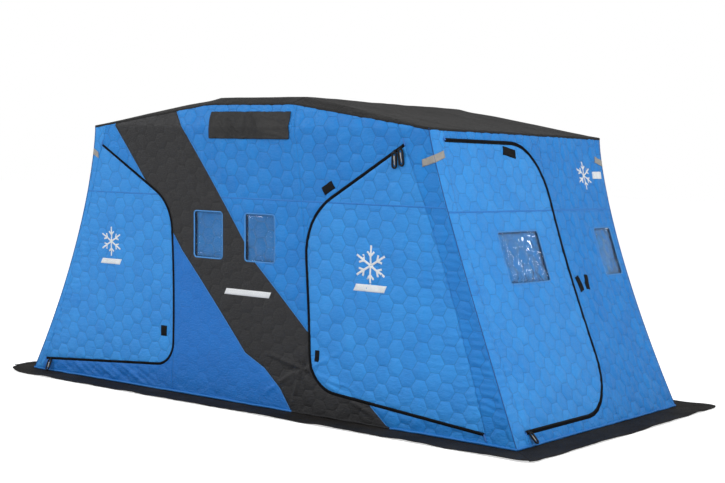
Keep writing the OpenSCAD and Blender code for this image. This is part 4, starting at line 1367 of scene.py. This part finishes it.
def tab_outline(x, z, width, height, degrees):
    turn = np.array(((math.cos(math.radians(degrees)), math.sin(math.radians(degrees))),
                     (-math.sin(math.radians(degrees)), math.cos(math.radians(degrees)))))
    return rounded_outline([(-width / 2, -height / 2), (width / 2, -height / 2), (width / 2, height / 2),
                            (-width / 2, height / 2)], [0.004] * 4, 3) @ turn + (x, z)


tabs = [("front_left_door_tab", front_wall, (-0.768, 0.414, 0.058, 0.072, 0), "front_left_door"),
        ("front_right_door_tab", front_wall, (0.618, 0.384, 0.036, 0.072, 0), "front_right_door"),
        ("right_end_door_tab", end_wall, (-0.196, 1.702, 0.150, 0.057, -9), "right_end_door"),
        ("over_right_door_tab", front_wall, (0.686, 1.452, 0.096, 0.054, 30), "hut"),
        ("right_end_tab_near", end_wall, (0.290, 0.860, 0.054, 0.098, 14), "hut"),
        ("right_end_tab_far", end_wall, (0.388, 0.865, 0.046, 0.094, -8), "hut")]
tab_cloth = plain_cloth("black_tab_cloth", (0.005, 0.005, 0.0055), roughness=0.85, thread=0.0016, wrinkle=0.2,
                        dust_amount=0.03, gloss=0.15)
for name, wall, (x, z, width, height, degrees), body in tabs:
    sewn_patch(name, wall, tab_outline(x, z, width, height, degrees), tab_cloth, "zip_tape", body,
               "wall_trim" if body == "hut" else body + "_trim", edge_stitch=black_thread)

reflective_cloth = plain_cloth("grey_reflective_cloth", (0.33, 0.315, 0.29), roughness=0.45, thread=0.0007,
                               wrinkle=0.25, dust_amount=0.2)
patch_height, patch_rise, patch_reach = 0.044, 0.028, 0.1
patch_z = eave_height - 0.231
lap = 0.001
seam_feet = (patch_z + patch_rise, patch_z + patch_rise + patch_height)


def reflective_patch(label, wall, outline, sign):
    """Half of a reflective patch, on one side of a corner seam."""
    sewn_patch(f"reflective_patch_{label}", wall, np.array(outline) * (sign, 1), reflective_cloth,
               "reflective_cloth", node="reflective_patches", step=0.008, own=level(0.0030))


for label, long_wall, short_wall, sign in (("front_right", front_wall, end_wall, 1),
                                           ("front_left", front_wall, far_end_wall, -1),
                                           ("rear_left", rear_wall, far_end_wall, 1),
                                           ("rear_right", rear_wall, end_wall, -1)):
    inner_x = half_at(half_length, patch_z) - (0.066 if label == "front_left" else patch_reach)
    low_x, high_x = [half_at(half_length, z) + lap for z in seam_feet]
    outline = [(inner_x, patch_z), (low_x, seam_feet[0]), (high_x, seam_feet[1]),
               (inner_x, patch_z + patch_height)]
    reflective_patch(label + "_long", long_wall, outline, sign)
    low_y, high_y = [half_at(half_width, z) + lap for z in seam_feet]
    inner_y = low_y - lap - patch_reach
    outline = [(low_y, seam_feet[0]), (inner_y, seam_feet[0] + patch_rise),
               (inner_y, seam_feet[1] + patch_rise),
               (high_y, seam_feet[1])]
    reflective_patch(label + "_end", short_wall, outline, -1 if label in ("front_right", "rear_left") else 1)


def flap_folds(x, z):
    """The flap hangs a little slack, with slanting pulls and a lifted lower edge."""
    slack = np.clip((1.80 - z) / 0.05, 0, 1) * (0.6 + 0.4 * smooth_noise(x, z, 0.16, 51))
    lift = 0.0040 + 0.005 * slack + 0.0012 * smooth_noise(x, z, 0.03, 52)
    for a, b in (((-0.27, 1.89), (-0.12, 1.76)), ((-0.21, 1.90), (-0.06, 1.80)), ((0.02, 1.92), (0.10, 1.80)),
                 ((0.10, 1.91), (0.34, 1.86)), ((0.14, 1.80), (0.34, 1.77))):
        lift = lift + ridge(x, z, a, b, 0.0070, 0.010)
    return lift


for label, wall in (("front", front_wall), ("rear", rear_wall)):
    vent_cloth = plain_cloth(f"{label}_vent_cloth", (0.018, 0.018, 0.0185), roughness=0.6, wrinkle=0.5,
                             dust_amount=0.05)
    sewn_patch(f"{label}_vent_flap_cloth", wall, vent_outline, vent_cloth, "charcoal_cloth",
               node=f"{label}_vent_flap", own=flap_folds, step=0.010, edge_stitch=black_thread, thin=0.003)

white_print = plain_cloth("white_printed_cloth", (0.80, 0.82, 0.84), roughness=0.5, thread=0.0011,
                          wrinkle=0.15, dusty=(0.5, 0.55, 0.6), dust_amount=0.15)


def flake_outline(x, z, radius):
    """A plain six-armed snow flake with a blunt tip and one pair of twigs on each arm."""
    side = [(0.055, 0.09), (0.055, 0.44), (0.26, 0.645), (0.185, 0.72), (0.055, 0.59), (0.055, 1.0)]
    out = []
    for k in range(6):
        c, s = radius * math.cos(math.radians(60 * k)), radius * math.sin(math.radians(60 * k))
        for u, v in [(-p[0], p[1]) for p in side] + side[::-1]:
            out.append((x + u * c + v * s, z - u * s + v * c))

    return np.array(out)


def print_bar(x, z, width, height, slant=0.0):
    """A plain bar with slanted ends."""
    w, h = width / 2, height / 2
    return np.array([(x - w - slant, z - h), (x + w - slant, z - h), (x + w + slant, z + h),
                     (x - w + slant, z + h)])


prints = [("front_left_print_bar", front_wall, print_bar(-1.33, 0.862, 0.20, 0.038, 0.008), "front_left_door",
           0.010),
          ("front_right_print_bar", front_wall, print_bar(1.02, 0.845, 0.24, 0.044, 0.010),
           "front_right_door", 0.010),
          ("right_end_print_bar", end_wall, print_bar(0.915, 1.568, 0.13, 0.050, 0.006), "hut", 0.010),
          ("stripe_print_bar", front_wall, print_bar(0.0, 0.735, 0.40, 0.040, 0.010), "hut", 0.010),
          ("front_left_print", front_wall, flake_outline(-1.33, 1.005, 0.105), "front_left_door", 0.006),
          ("front_right_print", front_wall, flake_outline(1.02, 0.985, 0.125), "front_right_door", 0.006),
          ("right_end_print", end_wall, flake_outline(0.735, 1.565, 0.095), "hut", 0.006)]
for name, wall, outline, body, step in prints:
    sewn_patch(name, wall, outline, white_print, "blue_quilt", body, own=level(0.0009), step=step,
               thin=0.0006)


# ---- Windows: clear sheet, binding and quilted covers behind ----
# Each window is a clear flexible sheet sewn behind an opening, bound round its
# edge. A loose quilted cover hangs behind it on the inside.
def clear_sheet():
    """Clear flexible sheet, slightly blue, rippled and smudged."""
    material, tree, shader = new_material("clear_window_sheet")
    uv = cloth_uv(tree)
    smudge = noise(tree, uv, in_Scale=22.0, in_Detail=5.0, in_Roughness=0.7, in_Distortion=0.6)
    ripple = add_node(tree, "ShaderNodeTexVoronoi", feature="SMOOTH_F1", in_Scale=26.0, in_Smoothness=0.6)
    tree.links.new(uv, ripple.inputs["Vector"])
    tree.links.new(map_range(tree, smudge, 0.35, 0.75, 0.02, 0.08), shader.inputs["Roughness"])
    set_inputs(shader, Base_Color=(0.88, 0.98, 1.0, 1), Transmission_Weight=1.0, IOR=1.30)
    crush = noise(tree, uv, in_Scale=75.0, in_Detail=3.0, in_Roughness=0.55, in_Distortion=1.2)
    slack = add_node(tree, "ShaderNodeAttribute", attribute_name="slack")
    crumpled = math_node(tree, "MULTIPLY", crush, slack.outputs["Fac"])
    wavy = bump(tree, ripple.outputs["Distance"], 0.05, 0.006)
    creased = bump(tree, crumpled, 1.0, 0.0055, wavy)
    tree.links.new(bump(tree, smudge, 0.06, 0.004, creased), shader.inputs["Normal"])
    return material


def mark_slack(piece):
    """Marks how near each point of a clear sheet lies to its side and lower edges, where it crumples."""
    spots = np.array([v.co for v in piece.data.vertices])
    across = spots[:, 0] if np.ptp(spots[:, 0]) > np.ptp(spots[:, 1]) else spots[:, 1]
    inset = np.minimum(np.minimum(across - across.min(), across.max() - across),
                       spots[:, 2] - spots[:, 2].min())
    slack = piece.data.attributes.new("slack", "FLOAT", "POINT")
    slack.data.foreach_set("value", np.exp(-inset / 0.045).astype(np.float32))


window_sheet = clear_sheet()
binding_cloth = plain_cloth("light_blue_binding", (0.075, 0.30, 0.70), roughness=0.5, thread=0.0009,
                            wrinkle=0.2, dust_amount=0.05)


def window_ripples(outline):
    """Slack ripples of the clear sheet, strongest near its lower and side edges."""
    low, high = outline.min(0), outline.max(0)

    def own(x, z):
        edge = np.minimum(np.minimum(x - low[0], high[0] - x), z - low[1])
        near = np.exp(-np.clip(edge, 0, 1) / 0.040)
        crushed = np.abs(smooth_noise(x, z, 0.020, 61)) * smooth_noise(x, z, 0.013, 64)
        return -0.0050 + 0.0040 * near * crushed + 0.0010 * smooth_noise(x, z, 0.14, 62)
    return own


def inner_folds(x, z):
    """A cover that hangs loosely behind its window."""
    return -0.017 + 0.004 * smooth_noise(x, z, 0.09, 63)


windows = [("front_window_left", front_wall, front_windows[0], "hut", "front_windows", -0.014),
           ("front_window_right", front_wall, front_windows[1], "hut", "front_windows", -0.014),
           ("rear_window_left", rear_wall, front_windows[0], "hut", "rear_windows", -0.014),
           ("rear_window_right", rear_wall, front_windows[1], "hut", "rear_windows", -0.014),
           ("right_end_window_small", end_wall, small_window, "hut", "right_end_window", 0.020),
           ("right_end_window_wide", end_wall, door_window, "right_end_door", "right_end_door_window", 0.020),
           ("left_end_window_near", far_end_wall, small_window, "hut", "left_end_windows", 0.020),
           ("left_end_window_far", far_end_wall, mirror(small_window)[::-1], "hut", "left_end_windows",
            0.020)]
for name, wall, outline, body, node, shift in windows:
    middle = outline.mean(0)
    lapped = middle + (outline - middle) * (1 + 0.012 / np.abs(outline - middle).max(0))
    sheet = sewn_patch(name + "_sheet", wall, lapped, window_sheet, "clear_vinyl", body, node,
                       own=window_ripples(outline), step=0.005, thin=0.0008)
    mark_slack(sheet)
    path = sampled(outline, 0.008, closed=True)
    area = 0.5 * np.sum(path[:, 0] * np.roll(path[:, 1], -1) - np.roll(path[:, 0], -1) * path[:, 1])
    outwards = -1 if area > 0 else 1
    offsets = [outwards * o for o in (-0.0015, 0.0, 0.0040, 0.0080)]
    binding = sewn_strip(name + "_binding", wall, path, offsets, (-0.0022, 0.0018, 0.0026, 0.0010), 0.0014,
                         closed=True)
    fit(binding, "blue_quilt", binding_cloth, body)
    loop = path + path_frames(path, True) * outwards * 0.0040
    row = along_cloth(wall, np.vstack([loop, loop[:1]]), 0.0030)
    fit(stitch_rows(name + "_stitches", [row], blue_thread), "blue_quilt", None, body)
    declare_strip(binding)
    # The cover takes the lighter door cloth: painted light, making up for the shade that falls behind the
    # window.
    cover = middle + (outline - middle) * 1.06 + (-shift, 0)
    sewn_patch(name + "_cover", wall, cover, door_quilt_painted_light, "blue_quilt", body, own=inner_folds, step=0.02,
               thin=0.003)


# ---- Seams, piping and hem ----
# Rolled seams close the four corners, thin piping edges the stripe, a seam crosses
# each wall above the windows, and the hem is rolled over the skirt.
seam_piping = plain_cloth("dark_blue_piping", (0.014, 0.075, 0.26), roughness=0.55, thread=0.0009,
                          wrinkle=0.15, dust_amount=0.05)
for label, wall, sign in (("front_right", front_wall, 1), ("front_left", front_wall, -1),
                          ("rear_left", rear_wall, 1), ("rear_right", rear_wall, -1)):
    path = wall.place(sampled(side_line(half_length, eave_height, sign), 0.02), 0, with_relief=False)
    fit(tube(f"corner_piping_{label}", path, 0.0024, 8), "blue_quilt", seam_piping)


def unbroken_runs(path, keep):
    """The stretches of a path that are kept, where they are long enough for a cord."""
    runs = [[]]
    for p, ok in zip(path, keep):
        if ok:
            runs[-1].append(p)
        elif runs[-1]:
            runs.append([])
    return [np.array(run) for run in runs if len(run) > 3]


def off_line(path, outline):
    """How far each point of a path lies from an outline."""
    return np.hypot(*(path[:, None] - sampled(outline, 0.01, closed=True)[None]).transpose(2, 0, 1)).min(1)


for label, wall in (("front", front_wall), ("rear", rear_wall)):
    for side, edge in zip(("left", "right"), stripe_edges):
        path = sampled(edge, 0.012)
        keep = inside(path, front_outline) & (path[:, 1] > 0.02)
        for hole in (left_hole, right_hole) if label == "front" else ():
            keep &= ~inside(path, hole) & (off_line(path, hole) > 0.012)
        for window in front_windows:
            keep &= ~inside(path, window)
        for k, run in enumerate(unbroken_runs(path, keep)):
            cord = tube(f"{label}_stripe_piping_{side}_{k}", wall.place(run, 0.0006), 0.0016, 6)
            fit(cord, "blue_quilt", binding_cloth)


def hem_line(wall, start, end, seed):
    """The rolled hem along one wall's foot, a little wavy."""
    across = np.linspace(start, end, max(8, int((end - start) / 0.016)))
    path = np.stack([across, np.full_like(across, 0.009)], 1)
    rise = 0.0025 * (1 + smooth_noise(across, 0 * across, 0.08, seed))
    return wall.place(path, 0.001, with_relief=False) + np.stack([0 * across, 0 * across, rise], 1)


hem_blue = plain_cloth("blue_hem_cloth", (0.022, 0.20, 0.60), roughness=0.5, thread=0.0009, wrinkle=0.3,
                       dust_amount=0.05)
hem_half, end_hem_half, stripe_foot = 2.126, 1.030, (left_bends[0][0], right_bends[0][0])
hems = [("front_left", front_wall, -hem_half, stripe_foot[0]), ("front_stripe", front_wall, *stripe_foot),
        ("front_right", front_wall, stripe_foot[1], hem_half),
        ("rear_left", rear_wall, -hem_half, stripe_foot[0]),
        ("rear_stripe", rear_wall, *stripe_foot), ("rear_right", rear_wall, stripe_foot[1], hem_half),
        ("right_end", end_wall, -end_hem_half, end_hem_half),
        ("left_end", far_end_wall, -end_hem_half, end_hem_half)]
for label, wall, start, end in hems:
    hem = tube(f"hem_{label}", hem_line(wall, start, end, 71), 0.0070, 10)
    dark = "stripe" in label
    fit(hem, "charcoal_cloth" if dark else "blue_quilt", charcoal_quilt if dark else hem_blue)


def cross_seam(name, wall, start, end, body="hut"):
    """A flat felled seam that runs level across the cloth, with a row of stitches."""
    run = sampled(np.array([(start, wall.row_seam), (end, wall.row_seam)]), 0.008)
    lifts = (0.0002, 0.0015, 0.0015, 0.0002)
    seam = sewn_strip("cross_seam_" + name, wall, run, (-0.0052, -0.0036, 0.0036, 0.0052), lifts, 0.0012)
    row = along_cloth(wall, run - (0, 0.002), 0.0018)
    stitches = stitch_rows(f"cross_seam_{name}_stitches", [row], blue_thread)
    fit(seam, "blue_quilt", hem_blue, body, folds=body != "hut")
    fit(stitches, "blue_quilt", None, body, folds=body != "hut")
    declare_strip(seam)


def door_span(door, height):
    """Where a door's zip crosses a height."""
    line = sampled(door.outline(0, 0), 0.004)
    return sorted(line[np.argsort(np.abs(line[:, 1] - height))[:3], 0])[1]


left_zip, right_zip = door_span(left_door, front_seam_height), door_span(right_door, front_seam_height)
end_zip = door_span(end_door, end_seam_height)
low, high = left_door.corners[0], left_door.corners[3]
left_turn = float(np.interp(front_seam_height, (low[1], high[1]), (low[0], high[0]))) + 0.012
side, end_side = half_at(half_length, front_seam_height), half_at(half_width, end_seam_height)
right_turn, end_turn = side - 0.19, 0.15 - end_side
cross_seam("left_door", front_wall, left_turn, left_zip - 0.013, "front_left_door")
cross_seam("left_corner", front_wall, 0.004 - side, left_turn)
cross_seam("centre", front_wall, float(stripe_right(front_seam_height)) + 0.004, right_zip - 0.013)
cross_seam("right_door", front_wall, right_zip + 0.013, right_turn, "front_right_door")
cross_seam("right_corner", front_wall, right_turn, side - 0.004)
cross_seam("end_corner", end_wall, 0.004 - end_side, end_turn)
cross_seam("end_door", end_wall, end_turn, end_zip - 0.015, "right_end_door")
cross_seam("end_far", end_wall, end_zip + 0.015, end_side - 0.004)


# ---- Roof ----
# Charcoal coated cloth in seven pieces, stretched over the crest and sloping ends
# and sewn to the walls round the eaves with a bound edge.
shoulder, roof_top = 0.884, 2.03


class Roof:
    """The roof cloth. Plane points are (along, across) seen from above."""
    row_seam, turned = 9, False

    def cloth(self, points, above=None):
        return points * (1.0, 1.0)

    def height(self, x, y):
        x, y = np.abs(x), np.abs(y)
        crest = np.where(y < shoulder, roof_top,
                         roof_top - 0.048 * (y - shoulder) / (half_crest[1] - shoulder))
        share = np.clip((x - half_crest[0]) / (half_roof[0] - half_crest[0]), 0, 1)
        end = roof_top + (eave_height - roof_top) * share
        ridge_y = shoulder + (half_roof[1] - shoulder) * share
        eave_y = half_crest[1] + (half_roof[1] - half_crest[1]) * share
        eave_z = crest_height + (eave_height - crest_height) * share
        gusset = end + (eave_z - end) * np.clip((y - ridge_y) / np.maximum(eave_y - ridge_y, 1e-6), 0, 1)
        return np.where(x <= half_crest[0], crest, np.where(y <= ridge_y, end, gusset))

    def sag(self, x, y):
        x, y = np.abs(x), np.abs(y)
        share = np.clip((x - half_crest[0]) / (half_roof[0] - half_crest[0]), 0, 1)
        across = np.clip(1 - (y / 0.93) ** 2, 0, 1)
        crest_dip = 0.010 * np.clip(1 - (x / half_crest[0]) ** 2, 0, 1)
        dip = np.where(x < half_crest[0], crest_dip, 0.016 * 4 * share * (1 - share)) * across
        crumple = 0.0050 * smooth_noise(x * 0.8 + y * 0.5, y * 2.0 - x * 0.6, 0.22, 82)
        return -dip + 0.0026 * smooth_noise(x, y, 0.11, 81) + crumple

    def place(self, points, lift=0.0, with_relief=True):
        x, y = points[:, 0], points[:, 1]
        edge = np.clip((1.0 + 0.034 * np.abs(x) - np.abs(y)) / 0.05, 0, 1)
        return np.stack([x, y, self.height(x, y) + lift + (edge * self.sag(x, y) if with_relief else 0)], 1)


roof = Roof()
roof_cloth = plain_cloth("charcoal_roof_cloth", (0.0125, 0.0120, 0.0120), roughness=0.6, thread=0.0014,
                         wrinkle=0.7, dusty=(0.045, 0.042, 0.041), dust_amount=0.3, gloss=0.25)


def roof_piece(name, outlines, node):
    """One roof panel, or the four gussets, as a closed sheet of cloth."""
    points, faces, flats = [], [], []
    for outline in outlines:
        spots, tris = filled(np.array(outline, float), 0.03, 0.026)
        faces += shell_faces(tris, len(spots), 2 * sum(len(s) for s in flats[::2]))
        points += [roof.place(spots, 0.001), roof.place(spots, -0.004)]
        flats += [spots, spots]
    piece = finish_mesh(name, np.vstack(points), faces, np.vstack(flats))
    fit(piece, "roof_cloth", roof_cloth, node=node)


crest_x, crest_y = half_crest
roof_x, roof_y = half_roof
gussets = [[(sx * crest_x, sy * shoulder), (sx * crest_x, sy * crest_y), (sx * roof_x, sy * roof_y)]
           for sx in (-1, 1) for sy in (-1, 1)]
roof_piece("crest_cloth", [box_outline(0, -crest_y, 2 * crest_x, 2 * crest_y, 0)], "roof_crest")
roof_piece("right_slope_cloth",
           [[(crest_x, -shoulder), (roof_x, -roof_y), (roof_x, roof_y), (crest_x, shoulder)]],
           "roof_panel_right")
roof_piece("left_slope_cloth",
           [[(-crest_x, -shoulder), (-crest_x, shoulder), (-roof_x, roof_y), (-roof_x, -roof_y)]],
           "roof_panel_left")
# The four gussets are cut nose to tail from one long strip.
roof_piece("gusset_cloth", gussets, "roof_gussets")

half_eave = [(roof_x, -roof_y, eave_height), (roof_x, roof_y, eave_height), (crest_x, crest_y, crest_height),
             (-crest_x, crest_y, crest_height)]
eave_loop = sampled(np.array(half_eave + [(-x, -y, z) for x, y, z in half_eave]), 0.03, closed=True)
outward = np.stack([eave_loop[:, 0] * 0, np.sign(eave_loop[:, 1]), eave_loop[:, 0] * 0], 1)
on_end = np.abs(eave_loop[:, 0]) > roof_x - 0.001
outward[on_end] = np.sign(eave_loop[on_end, :1]) * (1, 0, 0)


def eave_rows(places):
    """Rows along the eaves, each pushed out and down."""
    return np.stack([eave_loop + outward * out + np.array((0, 0, -down)) for out, down in places], 1)


top = eave_rows(((-0.030, -0.0035), (-0.004, -0.0040), (0.0035, -0.0015), (0.0045, 0.004), (0.0035, 0.013)))
bottom = eave_rows(((-0.030, 0.000), (-0.005, 0.000), (0.0005, 0.002), (0.0015, 0.006), (0.0012, 0.013)))
run = np.concatenate([[0], np.cumsum(np.linalg.norm(np.diff(eave_loop, axis=0), axis=1))])
flat = np.stack([np.stack([np.full(len(run), o), run], 1) for o in (0, 0.026, 0.034, 0.040, 0.049)], 1)
eave_binding = closed_sheet("eave_binding", top, bottom, flat, closed=True)
fit(eave_binding, "roof_cloth", roof_cloth)
eave_binding["flat_size"] = [0.049, float(run[-1])]
declare_strip(eave_binding)


# ---- Snow skirt ----
# A black coated cloth flap is sewn along the foot of every wall and lies on the
# snow. Its outer edge is cut plain and curls and waves a little.
skirt_cloth = plain_cloth("black_skirt_cloth", (0.0130, 0.0117, 0.0105), roughness=0.75, thread=0.0014,
                          wrinkle=0.5, dusty=(0.050, 0.046, 0.042), dust_amount=0.35, gloss=0.15)
skirt_width, skirt_round = 0.23, 0.11


def skirt_strip(name, half, out_at, turn, node, seed, tucked=0):
    """One side's flap: a long strip with mitred, rounded ends. Its tucked end (-1 or 1) is drawn in."""
    rows, cols = np.linspace(-1, 1, int(half * 130)), np.linspace(-0.06, 1, 13)
    s, c = np.meshgrid(rows, cols, indexing="ij")
    straight = half + skirt_width - skirt_round
    t = np.abs(s) * (straight + skirt_round * math.pi / 4)
    bend = np.clip((t - straight) / skirt_round, 0, math.pi / 4)
    near_corner = straight + skirt_round * math.pi / 4 - t
    drawn = 0.105 * np.clip(1 - near_corner / 0.42, 0, 1) ** 2 * (np.sign(s) == tucked)
    fray = 0.008 * (1 + smooth_noise(s * half, 0 * s, 0.33, seed)) * np.clip(near_corner / 0.15, 0, 1)
    edge_x = np.minimum(t, straight) + skirt_round * np.sin(bend) - drawn
    edge_out = skirt_width - skirt_round * (1 - np.cos(bend)) - drawn - fray
    x, out = np.sign(s) * (np.abs(s) * half * (1 - c) + edge_x * c), edge_out * c
    y = -(out_at + out)
    wave = 0.5 + 0.5 * smooth_noise(s * half, c * 0.1, 0.14, seed + 1)
    curl = 0.010 * wave ** 2 + 0.004 * np.exp(-(near_corner / 0.16) ** 2) + 0.10 * drawn
    z = 0.0035 + np.clip(c, 0, 1) ** 1.5 * curl + 0.0012 * (1 + smooth_noise(x, y, 0.035, seed + 2))
    top = np.stack([x, y, z], -1)
    bottom = np.stack([x, y, np.maximum(z - 0.0028, 0.0004)], -1)
    spin = np.array(((math.cos(turn), -math.sin(turn), 0), (math.sin(turn), math.cos(turn), 0), (0, 0, 1)))
    piece = closed_sheet(name, top @ spin.T, bottom @ spin.T, np.stack([x, y], -1))
    fit(piece, "skirt_cloth", skirt_cloth, node=node)


skirt_strip("skirt_front_cloth", *half_base, 0, "skirt_front", 91, -1)
skirt_strip("skirt_rear_cloth", *half_base, math.pi, "skirt_rear", 94)
skirt_strip("skirt_right_cloth", *half_base[::-1], math.pi / 2, "skirt_right", 97)
skirt_strip("skirt_left_cloth", *half_base[::-1], -math.pi / 2, "skirt_left", 100, 1)


# ---- Pole frame ----
# Drawn tubes run from feet on the ground to moulded hubs under the roof. The
# tubes are scratched along their length, and a short sleeve guards each end.
def drawn_tube():
    """Drawn aluminium, streaked along its length."""
    material, tree, shader = new_material("drawn_aluminium_tube")
    place = tree.nodes.new("ShaderNodeTexCoord")
    stretch = add_node(tree, "ShaderNodeMapping", in_Scale=(120, 120, 6))
    tree.links.new(place.outputs["Object"], stretch.inputs["Vector"])
    streak = noise(tree, stretch.outputs[0], in_Scale=3.0, in_Detail=5.0)
    tree.links.new(map_range(tree, streak, 0.0, 1.0, 0.25, 0.5), shader.inputs["Roughness"])
    tone = mix_colour(tree, streak, (0.50, 0.50, 0.52, 1), (0.68, 0.68, 0.70, 1))
    tree.links.new(tone, shader.inputs["Base Color"])
    tree.links.new(bump(tree, streak, 0.15, 0.0003), shader.inputs["Normal"])
    set_inputs(shader, Metallic=1.0)
    return material


tube_finish, hub_finish = drawn_tube(), moulded_plastic("black_hub_plastic", (0.018, 0.018, 0.019), 0.45)


def coat(node, material):
    """Gives a CAD node its material."""
    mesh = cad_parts[node].data
    mesh.materials.clear()
    mesh.materials.append(material)


for node in ("corner_poles", "roof_bars", "crest_bars"):
    coat(node, tube_finish)
for node in ("hub_fittings", "pole_feet"):
    coat(node, hub_finish)
fold_cord = plain_cloth("blue_fold_cord", (0.035, 0.17, 0.52), roughness=0.6, thread=0.0009)
coat("door_folds", fold_cord)
